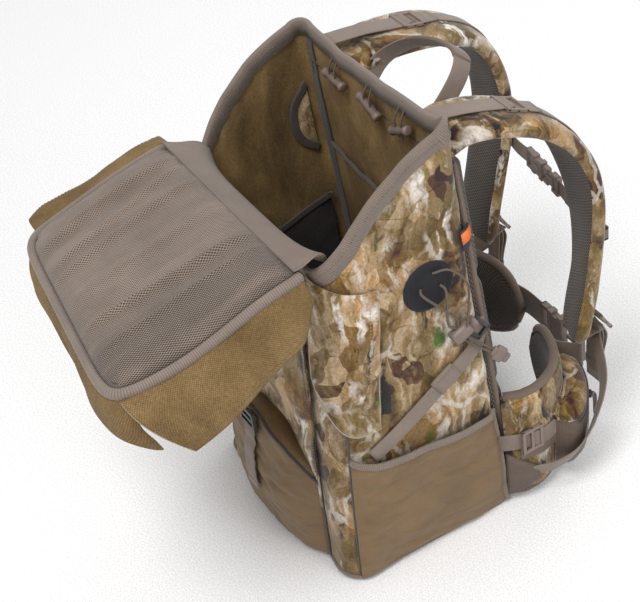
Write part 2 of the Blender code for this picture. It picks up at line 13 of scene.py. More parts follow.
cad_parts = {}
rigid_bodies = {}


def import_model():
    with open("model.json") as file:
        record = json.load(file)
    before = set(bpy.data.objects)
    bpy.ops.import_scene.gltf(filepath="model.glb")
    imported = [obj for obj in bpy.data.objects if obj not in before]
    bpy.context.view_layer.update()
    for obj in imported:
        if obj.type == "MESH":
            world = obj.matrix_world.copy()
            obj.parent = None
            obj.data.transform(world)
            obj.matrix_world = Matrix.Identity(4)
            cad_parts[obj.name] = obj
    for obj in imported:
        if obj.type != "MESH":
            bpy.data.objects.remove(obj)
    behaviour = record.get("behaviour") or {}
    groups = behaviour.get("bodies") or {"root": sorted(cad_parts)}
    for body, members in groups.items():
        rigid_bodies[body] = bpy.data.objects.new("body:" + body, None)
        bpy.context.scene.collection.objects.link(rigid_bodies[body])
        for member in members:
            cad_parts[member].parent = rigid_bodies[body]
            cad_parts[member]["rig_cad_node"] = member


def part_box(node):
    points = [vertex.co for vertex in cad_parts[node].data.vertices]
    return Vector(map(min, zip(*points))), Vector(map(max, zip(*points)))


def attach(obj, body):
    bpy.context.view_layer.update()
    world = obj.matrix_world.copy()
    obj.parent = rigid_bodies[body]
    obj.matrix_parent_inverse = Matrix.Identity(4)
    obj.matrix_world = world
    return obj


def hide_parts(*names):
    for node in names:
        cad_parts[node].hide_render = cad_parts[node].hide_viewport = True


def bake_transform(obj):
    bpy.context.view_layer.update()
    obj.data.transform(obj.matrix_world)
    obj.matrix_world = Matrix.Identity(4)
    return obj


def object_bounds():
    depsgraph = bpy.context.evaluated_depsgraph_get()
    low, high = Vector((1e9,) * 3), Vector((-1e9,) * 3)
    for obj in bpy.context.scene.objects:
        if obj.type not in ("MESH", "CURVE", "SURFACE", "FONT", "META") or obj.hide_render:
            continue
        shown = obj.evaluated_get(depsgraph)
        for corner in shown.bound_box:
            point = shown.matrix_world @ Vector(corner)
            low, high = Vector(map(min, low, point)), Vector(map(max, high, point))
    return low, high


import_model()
cad_low, cad_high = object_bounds()

SIDES = {"right": 1, "left": -1}

# Bag
BASE_HALF_WIDTH = 0.144
RIM_HALF_WIDTH = 0.141
BACK_RIM_Z = 0.530
FRONT_RIM_Z = 0.418
FRONT_BASE_Y = -0.103
FRONT_RIM_Y = -0.084
REAR_BASE_Y = 0.115
REAR_RIM_Y = 0.072
FRONT_CORNER = 0.038
REAR_CORNER = 0.018
FABRIC = 0.003
WALL_FOOT_Z = 0.0065
FRONT_POUCH_HALF_WIDTH = 0.097
CORNER_SAMPLE_Z = 0.3

# Lid
LID_AXIS = Vector((0.0, -0.100, 0.425))
LID_SLOPE = math.radians(8)
LID_HALF_WIDTH = 0.143
LID_LENGTH = 0.220
LID_HINGE_GAP = 0.006
SKIRT_CLOTH = 0.0024

# Harness
STRAP_THICKNESS = 0.018
BELT_THICKNESS = 0.018
WEBBING_WIDTH = 0.025
BELT_WEBBING_WIDTH = 0.038
BUCKLE_Z = 0.104
STERNUM_RAIL_INDEX = 19
WING_Z = 0.082
POUCH_Z = 0.075
WING_RISE = 0.021
STRAP_TWIST = math.radians(24)

# Camera
CAMERA_TARGET = Vector((-0.17877, 0.06120, 0.11769))
CAMERA_AZIMUTH = math.radians(64.605)
CAMERA_ELEVATION = math.radians(38.914)
CAMERA_ROLL = math.radians(8.867)
CAMERA_DISTANCE = 2.10
CAMERA_LENS = 94.9078125
FLOOR_HALF_SIZE = 40.0
FLOOR_GAP = 0.0005


# Materials


def scaled(colour, factor):
    return tuple(c * factor for c in colour)


class Graph:
    """Short calls for building one material's nodes."""

    def __init__(self, name, roughness=0.85, sheen=0.0):
        self.material = bpy.data.materials.new(name)
        self.material.use_nodes = True
        self.tree = self.material.node_tree
        self.shader = self.tree.nodes["Principled BSDF"]
        self.put(self.shader.inputs["Roughness"], roughness)
        self.put(self.shader.inputs["Sheen Weight"], sheen)
        self.put(self.shader.inputs["Sheen Roughness"], 0.5)
        coords = self.node("TexCoord")
        self.place, self.flat = coords.outputs["Object"], coords.outputs["UV"]

    def node(self, kind, **settings):
        made = self.tree.nodes.new("ShaderNode" + kind)
        for key, value in settings.items():
            setattr(made, key, value)
        return made

    def put(self, socket, value):
        if isinstance(value, bpy.types.NodeSocket):
            self.tree.links.new(value, socket)
        elif isinstance(value, (tuple, list)) and len(value) == 3 and socket.type == "RGBA":
            socket.default_value = (*value, 1.0)
        else:
            socket.default_value = value

    def times(self, a, b):
        return self.math("MULTIPLY", a, b)

    def plus(self, a, b):
        return self.math("ADD", a, b)

    def mapped(self, vector, scale=(1, 1, 1), turn=(0, 0, 0), shift=(0, 0, 0)):
        made = self.node("Mapping")
        self.put(made.inputs["Vector"], vector)
        made.inputs["Scale"].default_value = scale
        made.inputs["Rotation"].default_value = [math.radians(angle) for angle in turn]
        made.inputs["Location"].default_value = shift
        return made.outputs[0]

    def noise(self, vector, scale, detail=2.0, roughness=0.5, distortion=0.0, colour=False):
        made = self.node("TexNoise")
        self.put(made.inputs["Vector"], vector)
        made.inputs["Scale"].default_value = scale
        made.inputs["Detail"].default_value = detail
        made.inputs["Roughness"].default_value = roughness
        made.inputs["Distortion"].default_value = distortion
        return made.outputs["Color" if colour else "Fac"]

    def voronoi(self, vector, scale, feature="F1", output="Distance", randomness=1.0):
        made = self.node("TexVoronoi", feature=feature)
        self.put(made.inputs["Vector"], vector)
        made.inputs["Scale"].default_value = scale
        made.inputs["Randomness"].default_value = randomness
        return made.outputs[output]

    def math(self, operation, a, b=0.0):
        made = self.node("Math", operation=operation)
        self.put(made.inputs[0], a)
        self.put(made.inputs[1], b)
        return made.outputs[0]

    def step(self, value, low, high):
        """0 below low and 1 above high, or the other way round if low is the larger."""
        made = self.node("MapRange")
        self.put(made.inputs["Value"], value)
        made.inputs["From Min"].default_value = low
        made.inputs["From Max"].default_value = high
        return made.outputs[0]

    def ramp(self, value, *stops):
        made = self.node("ValToRGB")
        self.put(made.inputs[0], value)
        elements = made.color_ramp.elements
        while len(elements) < len(stops):
            elements.new(0.5)
        for element, (place, colour) in zip(elements, stops):
            element.position = place
            element.color = (*colour, 1.0)
        return made.outputs[0]

    def mix(self, share, a, b, blend="MIX"):
        made = self.node("Mix", data_type="RGBA", blend_type=blend)
        self.put(made.inputs["Factor"], share)
        self.put(made.inputs[6], a)
        self.put(made.inputs[7], b)
        return made.outputs[2]

    def grey(self, value):
        made = self.node("CombineColor")
        for i in range(3):
            self.put(made.inputs[i], value)
        return made.outputs[0]

    def split(self, vector):
        made = self.node("SeparateXYZ")
        self.put(made.inputs[0], vector)
        return made.outputs

    def waves(self, value, pitch):
        """A sine along a length in metres, from 0 to 1."""
        turned = self.math("SINE", self.math("MULTIPLY", value, 2 * math.pi / pitch))
        return self.step(turned, -1.0, 1.0)

    def finish(self, colour, height=None, distance=0.0005, strength=0.6):
        self.put(self.shader.inputs["Base Color"], colour)
        if height is not None:
            bump = self.node("Bump")
            bump.inputs["Strength"].default_value = strength
            bump.inputs["Distance"].default_value = distance
            self.put(bump.inputs["Height"], height)
            self.put(self.shader.inputs["Normal"], bump.outputs[0])
        return self.material


def camo(name, shift, tilt):
    """A woodland print on brushed fleece: bark and leaf litter patches with pale and dark branches."""
    g = Graph(name, 0.95, 0.25)
    at_rest = g.mapped(g.place, shift=shift)
    warp = g.node("VectorMath", operation="MULTIPLY_ADD")
    g.put(warp.inputs[0], g.noise(at_rest, 16, 3, colour=True))
    warp.inputs[1].default_value = (0.05, 0.05, 0.05)
    g.put(warp.inputs[2], at_rest)
    bent = warp.outputs[0]
    along = g.mapped(bent, scale=(1.0, 1.0, 0.28), turn=(tilt, tilt * 0.7, 0))
    patches = g.ramp(
        g.noise(along, 20, 5, 0.62),
        (0.30, (0.045, 0.042, 0.045)), (0.40, (0.12, 0.092, 0.062)), (0.47, (0.21, 0.155, 0.10)),
        (0.53, (0.30, 0.23, 0.155)), (0.60, (0.16, 0.115, 0.072)), (0.70, (0.36, 0.29, 0.21)))
    rust = g.step(g.noise(g.mapped(bent, shift=(3, 1, 2)), 13, 3, 0.6), 0.50, 0.62)
    colour = g.mix(g.times(rust, 0.55), patches, (0.31, 0.195, 0.105))
    bark = g.step(g.noise(g.mapped(bent, scale=(1, 1, 0.45), turn=(tilt, 0, 0), shift=(9, 2, 5)), 11, 2, 0.5),
                  0.54, 0.60)
    colour = g.mix(g.times(bark, 0.85), colour, (0.125, 0.098, 0.066))
    leaf = g.voronoi(g.mapped(bent, scale=(1, 1, 0.6), turn=(0, tilt, 20)), 46, output="Color")
    shade = g.ramp(g.split(leaf)[0], (0.0, (0.35, 0.33, 0.33)), (0.5, (0.9, 0.87, 0.82)),
                   (1.0, (1.5, 1.4, 1.25)))
    colour = g.mix(0.75, colour, shade, "MULTIPLY")
    streak = g.noise(g.mapped(bent, scale=(1, 1, 0.22), turn=(tilt + 25, tilt, 0), shift=(1, 5, 2)), 44, 6,
                     0.6)
    zone = g.step(g.noise(g.mapped(at_rest, shift=(7, 2, 9)), 13, 2), 0.46, 0.60)
    pale = g.times(g.step(streak, 0.52, 0.60), zone)
    colour = g.mix(pale, colour, (0.55, 0.48, 0.39))
    dark = g.times(g.step(streak, 0.43, 0.36), g.step(g.noise(at_rest, 15, 2), 0.42, 0.56))
    colour = g.mix(g.times(dark, 0.9), colour, (0.035, 0.036, 0.042))
    twig = g.voronoi(g.mapped(bent, scale=(1, 1, 0.5), turn=(tilt, 0, 40)), 19, "DISTANCE_TO_EDGE")
    fork = g.times(g.step(twig, 0.050, 0.028), g.step(g.noise(at_rest, 24, 2), 0.50, 0.58))
    colour = g.mix(g.times(fork, 0.45), colour, (0.54, 0.47, 0.38))
    edge = g.times(g.step(g.voronoi(bent, 30, "DISTANCE_TO_EDGE"), 0.045, 0.01),
                   g.step(g.noise(at_rest, 19, 1), 0.45, 0.6))
    colour = g.mix(g.times(edge, 0.35), colour, (0.04, 0.034, 0.03))
    green = g.step(g.noise(g.mapped(at_rest, scale=(1.4, 1, 0.8), shift=(4, 4, 8)), 19, 1), 0.70, 0.74)
    colour = g.mix(g.times(green, 0.8), colour, (0.05, 0.11, 0.035))
    contrast = g.node("BrightContrast")
    g.put(contrast.inputs["Color"], colour)
    contrast.inputs["Bright"].default_value = 0.02
    contrast.inputs["Contrast"].default_value = 0.18
    colour = g.mix(1.0, contrast.outputs[0], (1.13, 1.20, 1.38), "MULTIPLY")
    mottle = g.noise(at_rest, 330, 4, 0.7)
    colour = g.mix(0.9, colour, g.grey(g.step(mottle, 0.1, 0.78)), "SOFT_LIGHT")
    return g.finish(colour, mottle, 0.0010, 0.45)


def fleece(name, dark, light, grid=0.0):
    """Brushed fleece; grid is the pitch of a knitted grid in metres, if it has one, and the grid's low
    channels carry painted shade.
    """
    g = Graph(name, 1.0, 0.12)
    g.put(g.shader.inputs["Sheen Tint"], light)
    cloud = g.noise(g.mapped(g.place, scale=(1, 1, 0.45)), 17, 5, 0.6, 0.4)
    nap = g.noise(g.place, 380, 4, 0.7)
    colour = g.mix(g.step(cloud, 0.34, 0.66), dark, light)
    colour = g.mix(0.7, colour, g.grey(g.step(nap, 0.05, 0.8)), "SOFT_LIGHT")
    height = nap
    if grid:
        u, v, _ = g.split(g.flat)
        knots = g.times(g.waves(g.plus(u, v), grid * 1.4), g.waves(g.math("SUBTRACT", u, v), grid * 1.4))
        # Painted shade in the grid's low channels, where its bump is low
        colour = g.mix(g.step(knots, 0.55, 0.0), colour, g.mix(1.0, colour, (0.55, 0.52, 0.48), "MULTIPLY"))
        height = g.plus(nap, g.times(knots, 1.5))
    return g.finish(colour, height, 0.0008, 0.5)


def nylon(name, colour, sheen=0.1):
    """Plain woven nylon with fine creases; the creases carry painted shade in their hollows and painted
    highlight on their ridges, and the weave's gaps carry painted shade.
    """
    g = Graph(name, 0.62, sheen)
    u, v, _ = g.split(g.flat)
    weave = g.plus(g.waves(u, 0.0011), g.waves(v, 0.0011))
    crease = g.noise(g.mapped(g.place, scale=(1, 1, 1.8), turn=(0, 18, 12)), 24, 5, 0.55, 0.6)
    # Painted light: darker in the creases' hollows and lighter on their ridges, from the noise that also
    # makes the bump
    tone = g.mix(g.step(crease, 0.3, 0.7), scaled(colour, 0.82), scaled(colour, 1.14))
    # Painted shade in the low gaps of the weave
    tone = g.mix(g.times(g.step(weave, 0.9, 0.2), 0.35), tone, scaled(colour, 0.5))
    return g.finish(tone, g.plus(g.times(crease, 3.0), g.times(weave, 0.1)), 0.0022, 0.55)


def webbing(name, colour, pitch, strength=0.7):
    """Ribbed webbing or tape; the ribs run across its length, which is the first texture axis. The grooves
    between the ribs and between the threads carry painted shade.
    """
    g = Graph(name, 0.7, 0.15)
    u, v, _ = g.split(g.flat)
    ribs = g.waves(u, pitch)
    threads = g.waves(v, pitch * 0.8)
    cloud = g.noise(g.place, 30, 4, 0.6)
    tone = g.mix(g.step(cloud, 0.3, 0.7), scaled(colour, 0.88), scaled(colour, 1.1))
    # Painted shade in the grooves between the ribs, where the bump is low
    tone = g.mix(g.times(g.step(ribs, 0.5, 0.0), 0.65), tone, scaled(colour, 0.42))
    # Painted shade in the grooves between the threads
    tone = g.mix(g.times(g.step(threads, 0.5, 0.0), 0.25), tone, scaled(colour, 0.5))
    return g.finish(tone, g.plus(ribs, g.times(threads, 0.35)), 0.0005, strength)


def open_mesh(name, thread, hole, pitch, hole_size, stretch=1.0, opening=None):
    """Knitted mesh with rows of offset holes, which are painted dark as painted shade seen through the mesh;
    pitch is from hole to hole in metres.

    opening is a pair of places along the first texture axis between which the holes widen.
    """
    g = Graph(name, 0.8, 0.15)
    tone = g.noise(g.place, 22, 4, 0.6)
    u, v, _ = g.split(g.flat)
    v = g.times(v, stretch)
    first = g.times(g.waves(u, pitch), g.waves(v, pitch * 1.7))
    half_u, half_v = g.plus(u, pitch / 2), g.plus(v, pitch * 0.85)
    second = g.times(g.waves(half_u, pitch), g.waves(half_v, pitch * 1.7))
    holes = g.math("MAXIMUM", first, second)
    if opening:
        drawn = g.noise(g.mapped(g.place, scale=(9, 1, 2)), 5, 3, 0.5)
        holes = g.plus(holes, g.times(g.step(u, *opening), 0.22))
        holes = g.math("SUBTRACT", holes, g.times(g.step(drawn, 0.50, 0.68), 0.22))
    # gap marks the holes, which get the hole colour as painted shade seen through the mesh
    gap = g.step(holes, hole_size, hole_size + 0.16)
    base = g.mix(g.step(tone, 0.3, 0.7), scaled(thread, 0.86), scaled(thread, 1.14))
    return g.finish(g.mix(gap, base, hole), g.math("SUBTRACT", 1.0, holes), 0.0011, 0.8)


def moulded(name, colour, roughness):
    """Moulded plastic with a fine grain and rubbed edges."""
    g = Graph(name, roughness)
    grain = g.noise(g.place, 900, 3, 0.6)
    cloud = g.noise(g.place, 60, 3)
    wear = g.node("NewGeometry").outputs["Pointiness"]
    tone = g.mix(g.step(cloud, 0.3, 0.7), scaled(colour, 0.85), scaled(colour, 1.15))
    tone = g.mix(g.step(wear, 0.53, 0.62), tone, tuple(min(c * 1.8 + 0.02, 1) for c in colour))
    g.put(g.shader.inputs["Roughness"], g.plus(g.times(cloud, 0.2), roughness - 0.1))
    return g.finish(tone, grain, 0.0002, 0.3)


def plain(name, colour, roughness=0.7):
    g = Graph(name, roughness)
    fibres = g.noise(g.place, 500, 3, 0.6)
    tone = g.mix(g.step(fibres, 0.3, 0.7), scaled(colour, 0.8), scaled(colour, 1.2))
    return g.finish(tone, fibres, 0.0003, 0.4)


TAUPE = (0.235, 0.180, 0.142)
CAMO_BAG = camo("camo_bag", (0.0, 0.0, 0.0), 12)
CAMO_FLAP = camo("camo_flap", (0.31, 0.12, 0.07), -15)
CAMO_STRAP = camo("camo_strap", (0.13, 0.41, 0.22), 30)
CAMO_BELT = camo("camo_belt", (0.52, 0.07, 0.35), -35)
SKIRT = fleece("skirt_fleece", (0.150, 0.092, 0.033), (0.270, 0.172, 0.070), 0.0019)
LINING = fleece("lining_fleece", (0.075, 0.044, 0.014), (0.245, 0.155, 0.058))
POCKET_NYLON = nylon("pocket_nylon", (0.168, 0.101, 0.040))
# The hole colour of each mesh below is painted shade seen through its holes
LID_MESH = open_mesh("lid_mesh", (0.262, 0.200, 0.158), (0.030, 0.022, 0.017), 0.0025, 0.47, 1.0,
                     (0.205, 0.262))
AIR_MESH = open_mesh("air_mesh", (0.105, 0.080, 0.058), (0.012, 0.009, 0.007), 0.0042, 0.38)
BLACK_MESH = open_mesh("black_mesh", (0.022, 0.019, 0.016), (0.008, 0.007, 0.006), 0.0016, 0.5)
# Each webbing below has painted shade in the grooves between its ribs and threads
WEB = webbing("taupe_webbing", TAUPE, 0.0014, 0.5)
BINDING = webbing("grosgrain_binding", (0.225, 0.172, 0.138), 0.0021, 1.0)
PIPING = webbing("ribbed_piping", (0.235, 0.182, 0.148), 0.0026, 1.0)
BELT_BINDING = webbing("belt_binding", (0.165, 0.115, 0.082), 0.0016, 0.5)
BELT_CLOTH = nylon("belt_nylon", (0.105, 0.072, 0.052))
DARK_TAPE = webbing("dark_tape", (0.075, 0.058, 0.050), 0.0018)
PLASTIC = moulded("brown_plastic", (0.135, 0.098, 0.082), 0.42)
BLACK_PLASTIC = moulded("black_plastic", (0.014, 0.013, 0.013), 0.4)
RUBBER = moulded("black_rubber", (0.0055, 0.006, 0.009), 0.85)
CORD = plain("cord_sheath", (0.105, 0.075, 0.055))
THREAD = plain("stitch_thread", (0.17, 0.125, 0.09))
PALE_THREAD = plain("pale_thread", (0.36, 0.30, 0.22))
BOARD = plain("frame_board", (0.02, 0.02, 0.02))
TAG = plain("tag_cloth", (0.75, 0.16, 0.03))
TAG_DARK = plain("tag_border", (0.02, 0.025, 0.035))


# Building blocks


def add_mesh(name, points, faces, finishes, corners=None, kinds=None, outward=False):
    """A smooth mesh; corners is a texture place for each corner of each face, in metres."""
    mesh = bpy.data.meshes.new(name)
    mesh.from_pydata([tuple(p) for p in points], [], faces)
    if corners:
        layer = mesh.uv_layers.new(name="UVMap")
        for place, loop in zip([c for face in corners for c in face], layer.data):
            loop.uv = place
    for finish in finishes:
        mesh.materials.append(finish)
    if kinds:
        mesh.polygons.foreach_set("material_index", kinds)
    if outward:
        edit = bmesh.new()
        edit.from_mesh(mesh)
        bmesh.ops.recalc_face_normals(edit, faces=edit.faces)
        edit.to_mesh(mesh)
        edit.free()
    mesh.shade_smooth()
    made = bpy.data.objects.new(name, mesh)
    bpy.context.scene.collection.objects.link(made)
    return made


def fit(made, replaced=(), body="pack_body"):
    """Hides the CAD nodes that a piece replaces and hangs the piece on the body that it rides on."""
    if replaced:
        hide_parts(*replaced)
    if body:
        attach(made, body)
    return made


def flipped(rows):
    """The same rows run the other way, so that a sheet faces the other side."""
    return [row[::-1] for row in rows]


def facing(rows, side):
    """Rows whose sheet faces out on the right, made to face out on the given side."""
    return rows if side > 0 else flipped(rows)


def grid(name, rows, finishes, thickness=0.0, offset=-1.0, kinds=None):
    """A sheet through rows of points, thickened away from (next row) x (next column)."""
    columns = len(rows[0])
    middle = rows[len(rows) // 2]
    us, vs = [0.0], [0.0]
    for c in range(columns - 1):
        us.append(us[-1] + (middle[c + 1] - middle[c]).length)
    for r in range(len(rows) - 1):
        vs.append(vs[-1] + (rows[r + 1][columns // 2] - rows[r][columns // 2]).length)
    faces, corners = [], []
    for r in range(len(rows) - 1):
        for c in range(columns - 1):
            first = r * columns + c
            faces.append((first, first + columns, first + columns + 1, first + 1))
            corners.append(((us[c], vs[r]), (us[c], vs[r + 1]), (us[c + 1], vs[r + 1]), (us[c + 1], vs[r])))
    made = add_mesh(name, [p for row in rows for p in row], faces, finishes, corners, kinds)
    if thickness:
        solid = made.modifiers.new("thickness", "SOLIDIFY")
        solid.thickness = thickness
        solid.offset = offset
        solid.material_offset = min(1, len(finishes) - 1)
        solid.material_offset_rim = min(2, len(finishes) - 1)
    return made


def smooth(points, steps):
    """Points along a smooth curve through the given ones, steps of them for each span."""
    points = [Vector(point) for point in points]
    ends = [2 * points[0] - points[1], *points, 2 * points[-1] - points[-2]]
    path = []
    for i in range(1, len(ends) - 2):
        before, start, end, after = ends[i - 1 : i + 3]
        for step in range(steps):
            t = step / steps
            path.append(
                0.5 * (2 * start + (end - before) * t
                       + (2 * before - 5 * start + 4 * end - after) * t * t
                       + (3 * start - before - 3 * end + after) * t * t * t)
            )
    path.append(points[-1])
    return path


def tangents(path):
    last = len(path) - 1
    return [(path[min(i + 1, last)] - path[max(i - 1, 0)]).normalized() for i in range(last + 1)]


def sweep(name, path, across, section, finishes, kinds=None, closed=False):
    """A closed section carried along a path.

    section(share) gives (sideways, outwards) offsets; sideways is along across, and outwards is
    across the path from it. kinds gives the material of each side of the section.
    """
    last = len(path) - 1
    directions = tangents(path)
    if closed:
        directions = [(path[(i + 1) % (last + 1)] - path[i - 1]).normalized() for i in range(last + 1)]
    points, lengths = [], [0.0]
    for i, (point, along) in enumerate(zip(path, directions)):
        wide = Vector(across[i] if isinstance(across, list) else across)
        wide = (wide - along * wide.dot(along)).normalized()
        out = along.cross(wide)
        points += [point + wide * a + out * b for a, b in section(i / last)]
        if i:
            lengths.append(lengths[-1] + (point - path[i - 1]).length)
    shape = section(0.5)
    count = len(shape)
    around = [0.0]
    for j in range(count):
        (a, b), (c, d) = shape[j], shape[(j + 1) % count]
        around.append(around[-1] + math.hypot(c - a, d - b))
    if closed:
        lengths.append(lengths[-1] + (path[0] - path[-1]).length)
    faces, corners, indices = [], [], []
    for i in range(last + (1 if closed else 0)):
        for j in range(count):
            k = (j + 1) % count
            this, following = i * count, ((i + 1) % (last + 1)) * count
            faces.append((this + j, this + k, following + k, following + j))
            corners.append(((lengths[i], around[j]), (lengths[i], around[j + 1]),
                            (lengths[i + 1], around[j + 1]), (lengths[i + 1], around[j])))
            indices.append(kinds[j] if kinds else 0)
    if not closed:
        for start in (0, last * count):
            faces.append(tuple(range(start, start + count)))
            corners.append(tuple(shape))
            indices.append(0)
    return add_mesh(name, points, faces, finishes, corners, indices, outward=True)


def flat_section(width, thickness):
    """Webbing with rounded edges."""
    w, t = width / 2, thickness / 2
    half = [(w, 0), (w - t * 0.3, t * 0.75), (w - t, t), (w / 3, t), (-w / 3, t), (t - w, t),
            (t * 0.3 - w, t * 0.75)]
    return half + [(-a, -b) for a, b in half]


def round_section(radius, flat=1.0, sides=12):
    return [(radius * math.cos(2 * math.pi * i / sides), flat * radius * math.sin(2 * math.pi * i / sides))
            for i in range(sides)]


def strap(name, path, width, across, finish=None, thickness=0.0018):
    shape = flat_section(width, thickness)
    return sweep(name, path, across, lambda share: shape, [finish or WEB])


def rope(name, path, radius, finish, closed=False, sides=10):
    across = []
    for along in tangents(path):
        guide = Vector((0, 0, 1)) if abs(along.z) < 0.9 else Vector((1, 0, 0))
        across.append(guide.cross(along))
    shape = round_section(radius, sides=sides)
    return sweep(name, path, across, lambda share: shape, [finish], closed=closed)


def stitches(name, path, normals, body="pack_body", finish=None, pitch=0.0042,
             length=0.0028, radius=0.00042):
    """A row of raised stitches along a path; normals is one direction or one for each point."""
    points, faces = [], []
    travelled, due = 0.0, pitch / 2
    for i in range(len(path) - 1):
        span = (path[i + 1] - path[i]).length
        while due <= travelled + span and span > 0:
            centre = path[i].lerp(path[i + 1], (due - travelled) / span)
            along = (path[i + 1] - path[i]).normalized()
            up = Vector(normals[i] if isinstance(normals, list) else normals)
            up = (up - along * up.dot(along)).normalized()
            wide = along.cross(up)
            base = len(points)
            points += [centre - along * length / 2, centre + along * length / 2, centre + wide * radius * 1.3,
                       centre - wide * radius * 1.3, centre + up * radius, centre - up * radius]
            for end in (0, 1):
                for a, b in ((2, 4), (4, 3), (3, 5), (5, 2)):
                    faces.append((base + end, base + a, base + b) if end
                                 else (base + end, base + b, base + a))
            due += pitch
        travelled += span
    made = add_mesh(name, points, faces, [finish or THREAD])
    return fit(made, body=body)


def both(size, centre, axis=1):
    """A part and its mirror image across one axis."""
    mirrored = list(centre)
    mirrored[axis] = -mirrored[axis]
    return [(size, centre), (size, tuple(mirrored))]


def box_object(name, parts, finish, place, bevel=0.0008, segments=2):
    """Rounded boxes as one piece; each part is (size, centre) in the piece's own axes."""
    edit = bmesh.new()
    for size, centre in parts:
        bmesh.ops.create_cube(edit, size=1.0, matrix=Matrix.Translation(centre)
                              @ Matrix.Diagonal((*size, 1.0)))
    mesh = bpy.data.meshes.new(name)
    edit.to_mesh(mesh)
    edit.free()
    mesh.transform(place)
    mesh.materials.append(finish)
    mesh.shade_smooth()
    made = bpy.data.objects.new(name, mesh)
    bpy.context.scene.collection.objects.link(made)
    rounding = made.modifiers.new("rounding", "BEVEL")
    rounding.width = bevel
    rounding.segments = segments
    rounding.harden_normals = True
    return made


def turned(name, profile, place, finish, sides=32):
    """A profile of (radius, height) turned about its own Z."""
    points = [place @ Vector((r * math.cos(2 * math.pi * i / sides), r * math.sin(2 * math.pi * i / sides),
                              h)) for r, h in profile for i in range(sides)]
    faces = []
    for level in range(len(profile) - 1):
        for i in range(sides):
            j = (i + 1) % sides
            faces.append((level * sides + i, level * sides + j, (level + 1) * sides + j,
                          (level + 1) * sides + i))
    faces += [tuple(range(sides)), tuple(range(len(points) - sides, len(points)))]
    return add_mesh(name, points, faces, [finish], outward=True)


def frame_at(origin, x_axis, z_axis):
    """A matrix at origin whose X and Z lie along the given directions."""
    z = Vector(z_axis).normalized()
    y = z.cross(Vector(x_axis)).normalized()
    x = y.cross(z)
    return Matrix.Translation(origin) @ Matrix((x, y, z)).transposed().to_4x4()


def ladder_lock(name, place, width, length, body, replaced):
    """A two-bar buckle in its own XY plane."""
    rail, thick = 0.004, 0.004
    side = (width + rail) / 2
    parts = both((rail, length, thick), (side, 0, 0), 0)
    for y, lift in ((length / 2 - rail / 2, 0.0006), (0, -0.0004), (rail / 2 - length / 2, 0.0006)):
        parts.append(((width + 2 * rail, rail, thick), (0, y, lift)))
    made = box_object(name, parts, PLASTIC, place, 0.0009)
    return fit(made, replaced, body=body)


# Bag shape


def half_width(z):
    return BASE_HALF_WIDTH + (RIM_HALF_WIDTH - BASE_HALF_WIDTH) * z / BACK_RIM_Z


def front_y(z):
    t = z / FRONT_RIM_Z
    return FRONT_BASE_Y + (FRONT_RIM_Y - FRONT_BASE_Y) * (0.56 * t + 0.44 * t * t)


def rear_y(z):
    return REAR_BASE_Y + (REAR_RIM_Y - REAR_BASE_Y) * z / BACK_RIM_Z


def wall_point(station, z, outset=0.0):
    """A point on the bag's outer face, going round from the middle of the front.

    Stations 0 to 1 are the front, 1 to 2 the front corner, 2 to 3 the side, 3 to 4 the rear corner and
    4 to 5 the back. Negative stations are the left half.
    """
    side = -1 if station < 0 else 1
    station = abs(station)
    width, front, rear = half_width(z), front_y(z), rear_y(z)
    leg = min(int(station), 4)
    part = station - leg
    if leg == 0:
        x, y, turn = part * (width - FRONT_CORNER), front, 0.0
    elif leg == 1:
        turn = part * math.pi / 2
        x = width - FRONT_CORNER + FRONT_CORNER * math.sin(turn)
        y = front + FRONT_CORNER - FRONT_CORNER * math.cos(turn)
    elif leg == 2:
        x, turn = width, math.pi / 2
        y = front + FRONT_CORNER + part * (rear - REAR_CORNER - front - FRONT_CORNER)
    elif leg == 3:
        turn = (1 + part) * math.pi / 2
        x = width - REAR_CORNER + REAR_CORNER * math.sin(turn)
        y = rear - REAR_CORNER - REAR_CORNER * math.cos(turn)
    else:
        x, y, turn = (1 - part) * (width - REAR_CORNER), rear, math.pi
    return Vector((side * (x + outset * math.sin(turn)), y - outset * math.cos(turn), z))


def station_at_y(y, z):
    start = front_y(z) + FRONT_CORNER
    return 2 + (y - start) / (rear_y(z) - REAR_CORNER - start)


def rim_z(y):
    t = min(max((y - FRONT_RIM_Y) / (REAR_RIM_Y - FRONT_RIM_Y), 0.0), 1.0)
    return BACK_RIM_Z - (BACK_RIM_Z - FRONT_RIM_Z) * (1 - t) ** 2


def rim_height(station):
    z = FRONT_RIM_Z
    for _ in range(12):
        z = rim_z(wall_point(station, z).y)
    return z


def between(low, high, count):
    return [low + (high - low) * i / count for i in range(count + 1)]


def ripple(point, size, seed=0.0):
    """Smooth unevenness from -1 to 1, in bumps about size metres across."""
    return noise.noise(Vector(point) / size + Vector((seed, seed * 0.7, 0)))


def skin(station, z, outset=0.0):
    """The wall with its soft folds."""
    flat = wall_point(station, z)
    low = min(z / 0.03, 1.0)
    fold = 0.0028 * ripple(Vector((flat.x, flat.y, flat.z * 0.7)), 0.055) + 0.0012 * ripple(flat, 0.022, 5.0)
    away = abs(station)
    peak = math.exp(-((away - 3.5) / 0.5) ** 2) * (z / BACK_RIM_Z) ** 5
    foot = 0.011 * math.exp(-((away - 1.5) / 0.42) ** 2) * max(1 - z / 0.20, 0)
    point = wall_point(station, z, outset + fold * low + foot + 0.006 * peak)
    point.z += (0.014 if station > 0 else 0.003) * peak
    return point


def wall(name, stations, low, finishes, replaced):
    """One panel of the bag: printed outside, lining inside."""
    levels = 64
    rows = []
    for level in range(levels + 1):
        share = level / levels
        rows.append([skin(s, low + (rim_height(s) - low) * share) for s in stations])
    made = grid(name, flipped(rows), finishes, FABRIC, -1)
    return fit(made, replaced)


